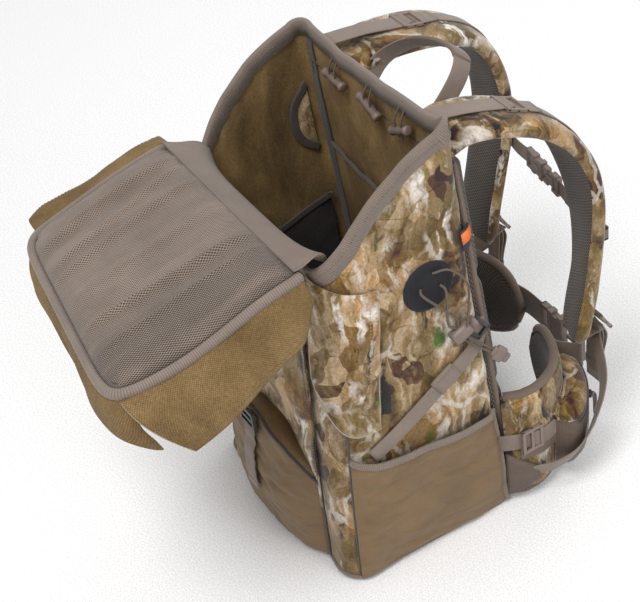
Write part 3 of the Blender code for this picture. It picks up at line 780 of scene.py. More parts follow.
def build_bag():
    corner = between(1, 1.5, 6)
    front = [-s for s in reversed(corner)] + between(-1, 1, 40)[1:-1] + corner
    wall("front_wall", front, WALL_FOOT_Z, [CAMO_BAG, LINING], ["front_panel"])
    side = between(1.5, 2, 6)[:-1] + between(2, 3, 32)[:-1] + between(3, 4, 8)
    wall("side_wall_right", side, WALL_FOOT_Z, [CAMO_BAG, LINING], ["side_panel_right"])
    wall("side_wall_left", [-s for s in reversed(side)], WALL_FOOT_Z, [CAMO_BAG, LINING], ["side_panel_left"])
    back = between(4, 5, 20)
    back += [-s for s in reversed(back[:-1])]
    wall("back_wall", back, WALL_FOOT_Z, [CAMO_BAG, LINING], ["back_panel"])

    ring = between(1.0, 4.98, 120)
    ring = [-s for s in reversed(ring)] + between(-1, 1, 20)[1:-1] + ring
    path = [skin(s, rim_height(s), -FABRIC / 2) for s in ring]
    deep = 0.0175
    shape = [(-deep, 0.0030), (-0.0005, 0.0032), (0.0013, 0.0022), (0.0019, 0.0), (0.0013, -0.0022),
             (-0.0005, -0.0032), (-deep, -0.0030), (-deep, -0.0020), (-0.0004, -0.0018), (-0.0004, 0.0018),
             (-deep, 0.0020)]
    fit(sweep("rim_binding", path, (0, 0, 1), lambda share: shape, [BINDING], closed=True))
    for name, outset in (("out", 0.0019), ("in", -0.0049)):
        for side_name, side in SIDES.items():
            run = [side * s for s in between(1.3, 4.95, 90)]
            path = [skin(s, rim_height(s) - 0.0085, outset) for s in run]
            normals = [wall_point(s, 0.4, 1.0) - wall_point(s, 0.4) for s in run]
            if outset < 0:
                normals = [-n for n in normals]
            stitches(f"rim_stitches_{name}_{side_name}", path, normals)

    # The seams inside the two rear corners
    for name, side in SIDES.items():
        rows = []
        for z in between(0.012, 0.512, 50):
            rows.append([skin(side * s, z, -FABRIC - 0.0006) for s in (3.62, 3.74, 3.88, 4.01)])
        fit(grid(f"corner_tape_{name}", facing(rows, side), [DARK_TAPE], 0.0012, 1))

    # Piping down the front corners' seams and round the base
    for name, side in SIDES.items():
        path = [skin(side * 1.585, z, 0.0008) for z in between(0.006, 0.222, 40)]
        fit(rope(f"corner_piping_{name}", path, 0.0014, DARK_TAPE))
    ring = between(-5, 5, 200)[:-1]
    path = [skin(s, 0.0068, 0.0008) for s in ring]
    fit(rope("base_piping", path, 0.0022, BINDING, closed=True))


def build_inside():
    """The lining's pockets and the patch behind the left cord port."""
    def inner_left(y, z, off):
        return skin(-station_at_y(y, z), z, -FABRIC - off)

    rows = []
    for z_share in between(0, 1, 24):
        row = []
        for y in between(-0.060, 0.083, 20):
            top = 0.283 + (y + 0.003) * 0.27
            row.append(inner_left(y, 0.030 + (top - 0.030) * z_share, 0.002 + 0.006 * z_share
                                  + 0.002 * ripple((y, z_share, 0), 0.05)))
        rows.append(row)
    made = fit(grid("inner_mesh_pocket", rows, [BLACK_MESH], 0.0012, 1))
    top = [point + Vector((0.0008, 0, 0.001)) for point in rows[-1]]
    fit(strap("inner_mesh_hem", top, 0.009, (0, 0, 1), DARK_TAPE, 0.0022))

    centre_y, centre_z = 0.082, 0.411
    rows = []
    for ring in between(0, 1, 8):
        row = []
        for angle in between(90, 270, 24):
            a = math.radians(angle)
            reach = 0.038 * (1 - 0.10 * math.cos(2 * a))
            y = centre_y + reach * ring * math.cos(a) * 1.12
            row.append(inner_left(y, centre_z + reach * ring * math.sin(a), 0.0015 + 0.002 * (1 - ring)))
        rows.append(row)
    fit(grid("port_patch", rows, [CAMO_FLAP], 0.001, 1))
    edge = [point + Vector((0.001, 0, 0)) for point in rows[-1]]
    fit(strap("port_patch_tape", edge, 0.010, [Vector((0, p.y - centre_y, p.z - centre_z)) for p in edge],
              DARK_TAPE, 0.0030))

    rows = []
    for z_share in between(0, 1, 20):
        z = 0.215 + 0.165 * z_share
        row = []
        for share in between(-1, 1, 30):
            out = 0.0035 + 0.009 * (1 - share * share) * z_share ** 0.7
            folds = 0.0006 * math.sin(share * 21 + 3 * z_share) * z_share
            folds += 0.002 * ripple((share, z_share, 3), 0.4)
            row.append(Vector((0.116 * share, rear_y(z) - FABRIC - out - folds, z)))
        rows.append(row)
    made = grid("inner_pocket", rows, [LINING], 0.0015, 1)
    fit(made, ["inner_back_pocket"])
    hem = [point + Vector((0, -0.0008, 0.001)) for point in rows[-1]]
    fit(strap("inner_pocket_hem", hem, 0.006, (0, 0, 1), DARK_TAPE, 0.0030))


def build_front():
    def top(x):
        return 0.174 - 0.056 * (x / 0.094) ** 2

    def face(a, b):
        x = FRONT_POUCH_HALF_WIDTH * a * (1 - 0.03 * b)
        z = 0.010 + (top(x) - 0.010) * b
        belly = (1 - abs(a) ** 3.4) * (0.45 + 0.55 * math.sin(math.pi * min(0.12 + 0.72 * b, 1.0)))
        gather = 0.0030 * ripple((x * 1.1 + z * 0.9, 0, z * 2.2), 0.030, 2.0) * belly
        gather += 0.0020 * ripple((x + z, 0, z * 2), 0.014, 9.0) * belly
        return Vector((x, front_y(z) - 0.0035 - 0.033 * belly - gather, z))

    rows = [[face(a, b) for a in between(-1, 1, 64)] for b in between(0, 1, 48)]
    hem = rows[-1]
    rows.append([point + Vector((0, 0.004, 0.002)) for point in hem])
    rows.append([Vector((p.x, front_y(p.z) - 0.002, p.z + 0.003)) for p in hem])
    first = [Vector((p.x, front_y(p.z) - 0.001, p.z - 0.002)) for p in rows[0]]
    made = grid("front_pouch", flipped([first, *rows]), [POCKET_NYLON], 0.0012, -1)
    fit(made, ["front_pocket"])
    edge = [p + Vector((0, -0.0006, 0.0006)) for p in hem]
    fit(rope("front_pouch_piping", edge, 0.0018, DARK_TAPE))
    for name, side in SIDES.items():
        path = [face(side * 0.995, b) + Vector((side * 0.001, 0.0010, 0)) for b in between(0, 1, 30)]
        fit(rope(f"front_seam_{name}", path, 0.0013, DARK_TAPE))

    # The printed panel above the pocket, in loose folds
    rows = []
    for b in between(0, 1, 30):
        row = []
        for a in between(-1, 1, 50):
            x = FRONT_POUCH_HALF_WIDTH * a
            z = top(x) - 0.030 + (0.405 - top(x) + 0.030) * b
            fold = 0.010 * math.exp(-((b - 0.30 - 0.12 * a) / 0.10) ** 2) * (1 - a * a)
            fold += 0.005 * ripple((x, 0, z), 0.045, 4.0) * (1 - b) * math.sin(math.pi * (a + 1) / 2)
            row.append(Vector((x, front_y(z) - 0.0055 - max(fold, -0.0015), z)))
        rows.append(row)
    made = grid("front_overlay", flipped(rows), [CAMO_FLAP], 0.0014, -1)
    fit(made)
    for name, side in SIDES.items():
        path = [row[-1 if side > 0 else 0] + Vector((side * -0.003, -0.0004, 0)) for row in rows]
        stitches(f"overlay_stitches_{name}", path, (0, -1, 0), finish=PALE_THREAD)

    place = Matrix.Translation(node_centre("front_buckle"))
    made = box_object("front_clip", [((0.030, 0.004, 0.006), (0, 0, 0.011)),
                                     ((0.030, 0.004, 0.005), (0, 0, 0)),
                                     ((0.030, 0.004, 0.006), (0, 0, -0.011)),
                                     ((0.004, 0.005, 0.028), (0.014, 0, 0)),
                                     ((0.004, 0.005, 0.028), (-0.014, 0, 0))], BLACK_PLASTIC, place, 0.0009)
    fit(made, ["front_buckle"])
    path = [face(0, b) + Vector((0, -0.0038 - 0.004 * max(0, 0.62 - b), 0)) for b in between(0.98, 0.36, 20)]
    fit(strap("front_webbing", path, 0.022, (1, 0, 0)), replaced=["front_strap"])
    tip = path[-1]
    made = box_object("front_webbing_fold", [((0.022, 0.005, 0.010), (0, 0, 0))], WEB,
                      Matrix.Translation(tip + Vector((0, 0.0008, 0.002))), 0.002)
    fit(made)

    centre = node_centre("front_zip_slider")
    made = box_object("front_zip_runner", [((0.010, 0.007, 0.004), (0, 0, 0)),
                                           ((0.004, 0.002, 0.010), (0, -0.0045, -0.006))], BLACK_PLASTIC,
                      Matrix.Translation(centre), 0.0009)
    fit(made, ["front_zip_slider"], body="front_zip")


def node_centre(node):
    low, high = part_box(node)
    return (low + high) / 2


def build_sides():
    for name, side in SIDES.items():
        def pouch(share, b, extra=0.0):
            s = 1.60 + 1.70 * share
            top = 0.181 - 0.029 * share - 0.007 * math.sin(math.pi * share)
            z = 0.0055 + (top - 0.0055) * b
            belly = math.sin(math.pi * min(max(share, 0.0), 1.0)) ** 0.6
            base = wall_point(side * s, z)
            folds = 0.0030 * ripple((base.y * 0.8, 0, z * 3.2 + base.y * 0.5), 0.032, 7.0)
            folds += 0.0026 * ripple((base.y * 0.5, 0, z * 2.6 + base.y * 0.8), 0.014,
                                     1.0) * max(1 - 1.8 * share, 0.2)
            out = 0.0032 + 0.0095 * belly * min(b * 4, 1) + folds * belly + extra
            return skin(side * s, z, out)

        rows = [[pouch(a, b) for a in between(0, 1, 64)] for b in between(0, 1, 48)]
        made = grid(f"side_pouch_{name}", facing(rows, -side), [POCKET_NYLON], 0.0012, -1)
        fit(made, [f"side_pocket_{name}"])
        path = [pouch(a, 0.975, 0.0004) for a in between(0, 1, 64)]
        fit(strap(f"side_pouch_hem_{name}", path, 0.0095, (0, 0, 1), BINDING, 0.0030))
        low = [pouch(a, 0.944, 0.0021) for a in between(0, 1, 64)]
        stitches(f"side_pouch_stitches_{name}", low, (side, 0, 0))
        path = [pouch(1.0, b, 0.0012) for b in between(0, 1.0, 30)]
        fit(strap(f"side_pouch_rear_{name}", path, 0.008, (0, 1, 0), BINDING, 0.0026))

        # Wing flap over the front corner
        rows = []
        for b in between(0, 1, 30):
            row = []
            for a in between(0, 1, 32):
                low_z = 0.210 + 0.078 * (1 - a) ** 3.2
                z = low_z + (0.417 - 0.030 * a - low_z) * b
                rear = station_at_y(-0.026 - 0.020 * (0.40 - z) / 0.19, z)
                s = 1.06 + (rear - 1.06) * a
                lift = 0.0035 + 0.0035 * (1 - b) ** 2 * (1 - a) + 0.0015 * ripple((a, b, 0), 0.35, 3.0)
                row.append(skin(side * s, z, lift))
            rows.append(row)
        made = grid(f"corner_flap_{name}", facing(rows, -side), [CAMO_FLAP], 0.0018, 1)
        fit(made, [f"wing_flap_{name}"])
        edge = [row[0] for row in reversed(rows[2:])] + rows[0] + [row[-1] for row in rows[1:]]
        outward = wall_point(side * 1.5, CORNER_SAMPLE_Z, 1.0) - wall_point(side * 1.5, CORNER_SAMPLE_Z)
        path = [p + outward * 0.0019 for p in edge]
        fit(rope(f"corner_flap_edge_{name}", path, 0.0007, PALE_THREAD, sides=8))
        path = [row[-4] + Vector((side * 0.0020, 0, 0)) for row in rows[2:]]
        stitches(f"corner_flap_stitches_{name}", path, (side, 0, 0), finish=PALE_THREAD)

        # Compression webbing across the side
        route = [(0.104, 0.290), (0.079, 0.257), (0.031, 0.226), (-0.023, 0.194), (-0.062, 0.176)]
        path = smooth([wall_point(side * min(station_at_y(y, z), 3.4), z, 0.0052) for y, z in route], 8)
        fit(strap(f"compression_{name}", path, 0.021, (0, 0.52, -0.85)),
            replaced=[f"compression_strap_{name}"])
        tab = path[13:18]
        made = strap(f"compression_tab_{name}", [p + Vector((side * 0.0018, 0, 0.004)) for p in tab], 0.026,
                     (0, 0.52, -0.85))
        fit(made)
        seam = [p + Vector((side * 0.003, 0, 0.012)) for p in tab]
        stitches(f"compression_stitches_{name}", seam, (side, 0, 0))
        clip = frame_at(path[2] + Vector((side * 0.003, 0, 0)), (0, 0.8, 0.6), (side, 0, 0))
        made = box_object(f"compression_clip_{name}", [*both((0.005, 0.024, 0.004), (0.008, 0, 0), 0),
                                                       *both((0.020, 0.004, 0.004), (0, 0.011, 0))],
                          BLACK_PLASTIC, clip, 0.0009)
        fit(made)

    # A plain side tag, sewn into the right rear seam
    for name, finish, z, half, raised in (("side_tag", TAG_DARK, 0.394, 0.012, 0),
                                          ("side_tag_patch", TAG, 0.397, 0.0065, 0.0012)):
        rows = [[skin(3.2 + 0.45 * k, z + half * share, 0.003 + 0.004 * k + raised) for k in (0.1, 0.6, 1.1)]
                for share in (-1, 0, 1)]
        fit(grid(name, flipped(rows), [finish], 0.0008, 1))


def build_port():
    low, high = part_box("cord_port")
    centre = Vector((low.x, (low.y + high.y) / 2, (low.z + high.z) / 2))
    place = frame_at(centre, (0, 1, 0), (1, 0, 0))
    profile = [(0.0300, 0.0), (0.0298, 0.0012), (0.0285, 0.0026), (0.0262, 0.0036), (0.0235, 0.0038),
               (0.0220, 0.0030), (0.0190, 0.0032), (0.0120, 0.0040), (0.0004, 0.0042)]
    fit(turned("port_disc", profile, place, RUBBER, 48), ["cord_port"])
    ring = [place @ Vector((0.0262 * math.cos(t), 0.0262 * math.sin(t), 0.0036))
            for t in [2 * math.pi * i / 72 for i in range(73)]]
    stitches("port_stitches", ring, (1, 0, 0), finish=BOARD, pitch=0.0032, length=0.0022)

    lock = node_centre("cord_lock_body")
    along = Vector((0, 0.41906, -0.90796))
    wide = along.cross(Vector((1, 0, 0)))
    gap = wide * 0.0021
    tail = lock + Vector((0.002, 0.041, -0.049))
    lead = (tail - lock).normalized()
    start, finish = centre + Vector((0.0042, -0.012, 0.004)), centre + Vector((0.0042, 0.012, -0.002))
    down = [start, start + Vector((0.007, 0.000, -0.006)), lock - along * 0.024 - gap * 2.2,
            lock - along * 0.010 - gap, lock + along * 0.012 - gap, tail - gap]
    turn = [tail + lead * 0.0035]
    back = [tail + gap, lock + along * 0.012 + gap, lock - along * 0.010 + gap, lock - along * 0.024
            + gap * 2.2, finish + Vector((0.007, 0.002, -0.006)), finish]
    made_cord("shock_cord_loop", smooth(down + turn + back, 8), 0.0030, "pack_body", ["shock_cord"])
    arch = [centre + Vector((0.0042, 0.004, 0.017)), centre + Vector((0.014, 0.019, 0.020)),
            centre + Vector((0.020, 0.034, 0.000)), centre + Vector((0.018, 0.036, -0.030)),
            lock + Vector((0.0060, 0.004, 0.010))]
    made_cord("shock_cord_arch", smooth(arch, 8), 0.0026, "pack_body", [])

    out = (node_centre("cord_lock_button") - lock).normalized()
    profile = [(0.0050, -0.0125), (0.0078, -0.0118), (0.0088, -0.0095), (0.0088, 0.0080), (0.0080, 0.0110),
               (0.0050, 0.0118)]
    made = turned("lock_barrel", profile, frame_at(lock, (1, 0, 0), out), PLASTIC, 28)
    fit(made, ["cord_lock_body"], body="cord_lock")
    button = node_centre("cord_lock_button")
    cap = frame_at(lock.lerp(button, 0.85), (1, 0, 0), out)
    profile = [(0.0058, -0.0050), (0.0060, 0.0010), (0.0066, 0.0024), (0.0064, 0.0048), (0.0046, 0.0058)]
    fit(turned("lock_button", profile, cap, PLASTIC, 28), ["cord_lock_button"],
        body="cord_lock_button")
    made = box_object("cord_end_tab", [((0.0070, 0.018, 0.015), (0, 0, 0.004)),
                                       ((0.0058, 0.012, 0.010), (0, 0, 0.015)),
                                       ((0.0062, 0.012, 0.006), (0, 0, -0.005))], PLASTIC,
                      frame_at(tail, (1, 0, 0), lead), 0.0028, 3)
    fit(made)


def made_cord(name, path, diameter, body, replaced):
    """A free cord as a curve; its length is the path's."""
    data = bpy.data.curves.new(name, "CURVE")
    data.dimensions = "3D"
    spline = data.splines.new("POLY")
    spline.points.add(len(path) - 1)
    for place, point in zip(spline.points, path):
        place.co = (*point, 1.0)
    data.bevel_depth = diameter / 2
    data.bevel_resolution = 3
    data.use_fill_caps = True
    data.materials.append(CORD)
    made = bpy.data.objects.new(name, data)
    bpy.context.scene.collection.objects.link(made)
    return fit(made, replaced, body=body)


def build_toggles():
    for number, tilt in ((1, 6), (2, 20), (3, -26)):
        node = f"toggle_{number}"
        centre = node_centre(node)
        place = (Matrix.Translation(centre) @ Matrix.Rotation(math.radians(tilt), 4, "Y")
                 @ Matrix.Rotation(math.radians(90), 4, "Y"))
        profile = [(0.0030, -0.0190), (0.0050, -0.0182), (0.0055, -0.0150), (0.0045, -0.0110),
                   (0.0049, -0.0050), (0.0051, 0.0), (0.0049, 0.0050), (0.0045, 0.0110), (0.0055, 0.0150),
                   (0.0050, 0.0182), (0.0030, 0.0190)]
        made = turned(f"barrel_{number}", profile, place, PLASTIC, 20)
        fit(made, [node], body=node)
        top = Vector((centre.x, rear_y(0.52) - FABRIC - 0.0012, 0.5185))
        lean = math.tan(math.radians(tilt)) * 0.0055
        left, right = Vector((-0.0055, 0, 0)), Vector((0.0055, 0, 0))
        route = [top + left * 0.8, top.lerp(centre, 0.5) + left + Vector((0, -0.004, 0)),
                 centre + left + Vector((0, -0.0012, lean)), centre + left * 0.8 + Vector((0, 0, -0.0065)),
                 centre + Vector((0, 0.0, -0.0100)), centre + right * 0.8 + Vector((0, 0, -0.0065)),
                 centre + right + Vector((0, -0.0012, -lean)), top.lerp(centre, 0.5) + right
                 + Vector((0, -0.004, 0)), top + right * 0.8]
        made_cord(f"toggle_loop_{number}", smooth(route, 5), 0.0021, node, [])


# Lid

LID = Matrix.Translation(LID_AXIS) @ Matrix.Rotation(LID_SLOPE, 4, "X")
# How far the soft lid's corners stand from the flat plate: hinge edge, then free edge, left and right
LID_CORNERS = ((Vector((0.0, 0.001, 0.022)), Vector((0.0, 0.006, 0.013))),
               (Vector((0.002, 0.030, 0.015)), Vector((0.0, -0.006, 0.001))))


def lid_point(x, y, z):
    """A place on the lid in the plate's own axes, carried with its sagging corners into the frame."""
    across = min(max((x / LID_HALF_WIDTH + 1) / 2, 0), 1)
    out = min(max(-y / LID_LENGTH, 0), 1)
    near, far = (a.lerp(b, across) for a, b in LID_CORNERS)
    wave = 0.0050 * math.sin(out * 6.6 + 0.5) * across ** 6 + 0.003 * math.sin(out * 5.0) * (1 - across) ** 6
    return LID @ Vector((x, y, z + wave)) + near.lerp(far, out)


def lid_plan(u, v, inset=0.0):
    """A place on the lid for u from -1 to 1 across and v from -1 at the hinge to 1 at the free edge."""
    power = 9.0 if v > 0 else 22.0
    reach = max(abs(u), abs(v))
    a, b = (abs(u) / reach, abs(v) / reach) if reach else (1, 0)
    shrink = 1 / (a ** power + b ** power) ** (1 / power)
    shrink = 1 + (shrink - 1) * reach ** 3
    x = (LID_HALF_WIDTH - inset) * u * shrink
    half_length = (LID_LENGTH - LID_HINGE_GAP) / 2
    y = -LID_HINGE_GAP - half_length - (half_length - inset) * v * shrink
    return x, y


def build_lid():
    def ridge(u, v):
        height = 0.0
        for place, tilt, depth, width in ((-0.72, 0.05, 0.0030, 0.030), (-0.50, 0.12, 0.0016, 0.024),
                                          (-0.33, 0.06, 0.0020, 0.028), (0.02, 0.02, 0.0012, 0.05),
                                          (0.40, -0.05, 0.0026, 0.026), (0.62, 0.02, 0.0014, 0.022)):
            away = u - place - tilt * v
            hollow = depth * math.exp(-((away - 0.09) / 0.06) ** 2)
            height += depth * 2.3 * math.exp(-(away / width) ** 2) - hollow
        return height

    def top(u, v):
        x, y = lid_plan(u, v, 0.0052)
        crown = (1 - abs(u) ** 6) * (1 - abs(v) ** 7)
        fade = max(1 - abs(v) ** 4, 0.0) * max(1 - abs(u) ** 10, 0.0)
        height = 0.0030 + 0.0165 * crown ** 0.55 + ridge(u, v) * fade
        height += 0.0016 * ripple((u, v * 0.5, 0), 0.35, 6.0) * fade
        return lid_point(x, y, height)

    rows = [[top(u, v) for u in between(-1, 1, 120)] for v in between(-1, 1, 80)]
    made = grid("lid_pad", rows, [LID_MESH], 0.0016, -1)
    fit(made, ["lid_mesh_pocket"], body="lid")

    def under(u, v):
        x, y = lid_plan(u, v, 0.004)
        belly = 0.0015 * (1 - u * u) * (1 - v * v)
        return lid_point(x, y, -0.0050 - belly + 0.0012 * ripple((u, v, 0), 0.3, 2.0))

    rows = [[under(u, v) for u in between(-1, 1, 50)] for v in between(-1, 1, 44)]
    made = grid("lid_shell", flipped(rows), [CAMO_FLAP], 0.004, -1)
    fit(made, ["lid_panel"], body="lid")

    # Thick ribbed piping round three sides
    route = [(1, v) for v in between(-0.985, 1, 60)] + [(u, 1) for u in between(1, -1, 70)[1:]]
    route += [(-1, v) for v in between(1, -0.985, 60)[1:]]
    path = [lid_point(*lid_plan(u, v, 0.0018), 0.0008) for u, v in route]
    up = LID.to_3x3() @ Vector((0, 0, 1))
    made = sweep("lid_piping", path, up, lambda share: round_section(0.0062, 0.86, 16), [PIPING])
    fit(made, body="lid")
    inner = [lid_point(*lid_plan(u, v, 0.0082), 0.0060) for u, v in route[2:-2]]
    fit(rope("lid_pad_seam", inner, 0.0010, DARK_TAPE, sides=8), body="lid")

    # The hinge: a flat ribbed band from the front rim over onto the lid
    rows = []
    for share in between(0, 1, 20):
        row = []
        for a in between(-1, 1, 70):
            rim = Vector((0.122 * a, FRONT_RIM_Y + 0.0045 + 0.012 * abs(a) ** 4,
                          FRONT_RIM_Z + 0.0020 + 0.008 * abs(a) ** 5))
            edge = lid_point(0.1395 * a, -0.0160, 0.0112)
            point = rim.lerp(edge, share)
            point.z += 0.016 * math.sin(math.pi * share ** 0.62) * (1 - share)
            row.append(point)
        rows.append(row)
    made = grid("lid_hinge_band", rows, [BINDING, CAMO_FLAP, BINDING], 0.0022, 1)
    made = baked(made)
    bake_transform(made)
    path = [lid_point(0.132 * a, -0.0185, 0.0128) for a in between(-1, 1, 60)]
    stitches("lid_band_stitches", path, tuple(up), body="lid")
    build_skirts()


def baked(made):
    """The same object with its modifiers applied."""
    mesh = bpy.data.meshes.new_from_object(made.evaluated_get(bpy.context.evaluated_depsgraph_get()))
    made.modifiers.clear()
    made.data = mesh
    return made


def build_skirts():
    """Two side skirts and a front one, of gridded fleece with raw pale edges."""
    for name, side in SIDES.items():
        rows = []
        for a in between(0, 1, 26):
            row = []
            for b in between(0, 1, 60):
                if side > 0:
                    slope = math.radians(58 - 26 * b)
                    wide = 0.050 + 0.027 * b
                    y = -0.012 - 0.196 * b
                    y += 0.032 * a ** 2.2 * max(b - 0.35, 0) / 0.65
                    y -= 0.006 * a ** 4 * (1 - b)
                    reach = wide * a * (1 - 0.55 * max(0, 1 - b * 7) ** 2 * a)
                else:
                    slope = math.radians(26 - 6 * b)
                    wide = 0.060
                    y = -0.004 - 0.196 * b
                    reach = wide * a * (1 - 0.22 * a * max(0, (b - 0.86) / 0.14) ** 2)
                    y += 0.014 * a ** 3 * b
                crease = ripple((a * 0.06, b * 0.18, 0), 0.03, side * 3.0)
                wave = 0.0028 * math.sin(b * 8 + 0.6) * a + 0.0014 * crease
                edge = lid_point(side * (LID_HALF_WIDTH + 0.0005), y, -0.001)
                out = Vector((side * math.cos(slope), 0, -math.sin(slope)))
                lift = LID.to_3x3() @ Vector((side * math.sin(slope), 0, math.cos(slope)))
                row.append(edge + LID.to_3x3() @ out * reach
                           + lift * (0.0075 * math.sin(math.pi * min(a * 0.9, 1)) + wave))
            rows.append(row)
        made = grid(f"skirt_{name}", facing(rows, -side), [SKIRT, CAMO_STRAP, PALE_THREAD], SKIRT_CLOTH, -1)
        made = baked(made)
        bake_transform(made)
        fit(made, [f"lid_skirt_{name}"], body=None)
        edge = [row[2] for row in rows[13:]] + [rows[-3][c] for c in range(3, len(rows[0]) - 2)]
        edge += [row[-3] for row in reversed(rows[13:-3])]
        up = LID.to_3x3() @ Vector((side * 0.6, 0, 0.8))
        path = [p + up * 0.0003 for p in edge]
        stitches(f"skirt_stitches_{name}", path, tuple(up), body=f"lid_skirt_{name}",
                 finish=THREAD)

    # The front skirt hangs from the free edge and on round the right corner, where its end curls in
    route = [(u, 1.0) for u in between(-0.96, 1, 66)] + [(1.0, v) for v in between(1, 0.80, 14)[1:]]
    rows = []
    for b in between(0, 1, 24):
        row = []
        for step, (u, v) in enumerate(route):
            share = step / (len(route) - 1)
            lead = min(max((share - 0.62) / 0.38, 0), 1)
            lead = lead * lead * (3 - 2 * lead)
            depth = (0.034 + 0.012 * share + 0.018 * lead) * b
            edge = lid_point(*lid_plan(u, v, -0.0005), -0.002)
            wave = 0.0022 * math.sin(share * 11) * b + 0.0015 * ripple((share * 2, b, 0), 0.3, 8.0)
            row.append(edge + Vector((0.0185 * lead * b, 0.0147 * lead * b * b - 0.003 * b * (1 - lead) - wave
                                      - 0.004 * math.sin(math.pi * min(b, 0.8)), -depth)))
        rows.append(row)
    made = grid("skirt_front", rows, [SKIRT, CAMO_STRAP, PALE_THREAD], SKIRT_CLOTH, -1)
    made = baked(made)
    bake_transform(made)
    fit(made, ["lid_skirt_front"], body=None)


# Harness


def behind(x, z, out):
    return Vector((x, rear_y(z) + out, z))


def build_back():
    repaint("frame_sheet", BOARD)
    inner = 0.0026
    rows = []
    for b in between(0, 1, 60):
        row = []
        for a in between(-1, 1, 50):
            z = 0.012 + 0.474 * b
            pad = min(1 - abs(a) ** 8, 1 - abs(2 * b - 1) ** 14)
            channel = math.exp(-(a / 0.17) ** 2) + sum(math.exp(-((b - k) / 0.018) ** 2)
                                                       for k in (0.34, 0.67))
            depth = 0.0025 + 0.0185 * max(pad, 0) ** 0.5 * (1 - 0.62 * min(channel, 1.0))
            row.append(behind((0.138 - 0.006 * b) * a, z, inner + depth + 0.0006 * ripple((a, b, 0), 0.1)))
        rows.append(row)

    def to_wall(p):
        return Vector((p.x, rear_y(p.z) - 0.003, p.z))

    rows = [[to_wall(p) for p in rows[0]], *rows, [to_wall(p) for p in rows[-1]]]
    rows = [[to_wall(row[0]), *row, to_wall(row[-1])] for row in rows]
    made = grid("back_pad", rows, [AIR_MESH], 0.0015, -1)
    fit(made, ["back_padding"])
    edge = [rows[1][c] for c in range(1, 51)] + [rows[r][51] for r in range(2, 61)]
    edge += [rows[61][c] for c in range(50, 0, -1)] + [rows[r][1] for r in range(60, 1, -1)]
    fit(rope("back_pad_binding", edge, 0.0030, BELT_BINDING, closed=True))

    rows = []
    for b in between(0, 1, 30):
        row = []
        for a in between(-1, 1, 40):
            reach = max(abs(a), abs(2 * b - 1))
            rounded = max(1 - abs(a) ** 4, 0) * max(1 - abs(2 * b - 1) ** 4, 0)
            x = a * (0.078 - 0.018 * abs(2 * b - 1) ** 4)
            z = 0.052 + 0.098 * b
            row.append(behind(x, z, 0.0150 + 0.0180 * rounded ** 0.5 - 0.0004 * reach))
        rows.append(row)
    made = grid("lumbar_cushion", rows, [AIR_MESH], 0.0012, -1)
    fit(made, ["lumbar_pad"])


def repaint(node, material):
    """Gives a CAD node that stays in view its material."""
    mesh = next(o for o in bpy.data.objects if o.get("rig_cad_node") == node).data
    for index in range(len(mesh.materials)):
        mesh.materials[index] = material


def strap_route(side, steps=3):
    """The centre line of a shoulder strap, from the back over the shoulder to its lower end."""
    if side > 0:
        route = [(0.096, 0.0785, 0.496), (0.097, 0.106, 0.502), (0.100, 0.150, 0.492), (0.103, 0.196, 0.468),
                 (0.106, 0.231, 0.430), (0.109, 0.250, 0.380), (0.110, 0.257, 0.320), (0.110, 0.254, 0.250),
                 (0.109, 0.2445, 0.200), (0.108, 0.237, 0.162)]
    else:
        route = [(-0.096, 0.0785, 0.490), (-0.097, 0.110, 0.497), (-0.100, 0.160, 0.494),
                 (-0.103, 0.214, 0.480), (-0.105, 0.258, 0.450), (-0.107, 0.283, 0.395),
                 (-0.108, 0.288, 0.330), (-0.108, 0.275, 0.265), (-0.108, 0.263, 0.212),
                 (-0.108, 0.257, 0.164)]
    return smooth(route, steps)


def strap_lock_centre(side):
    return strap_route(side)[-1] + Vector((side * 0.004, 0.030, 0.014))


def on_strap(side, index, out, steps=3):
    path = strap_route(side, steps)
    along = tangents(path)[index]
    outward = Vector((1, 0, 0)).cross(along).normalized()
    return path[index] + outward * out, along, outward


def pad_section(half, thick, edge=0.0016, across=12, full=5, power=0.55):
    """A pad with a crowned face on each side, its faces meeting at thin edges."""
    def bulge(u):
        return edge + (thick / 2 - edge) * max(1 - abs(u) ** full, 0) ** power

    face = [1 - 2 * k / across for k in range(across + 1)]
    face = [math.copysign(abs(u) ** 0.75, u) for u in face]
    return [(half * u, bulge(u)) for u in face] + [(-half * u, -bulge(u)) for u in face]


# The material of each side of a pad's section: cloth, then its edge, then mesh
PAD_KINDS = [0] * 12 + [2] + [1] * 12 + [2]
STRAP_KINDS = [0] * 14 + [1] * 10 + [0] * 2


def twist(share):
    """How far the right strap's lower part is turned towards the pack, in radians."""
    t = min(max((share - 0.50) / 0.30, 0), 1)
    return STRAP_TWIST * t * t * (3 - 2 * t)


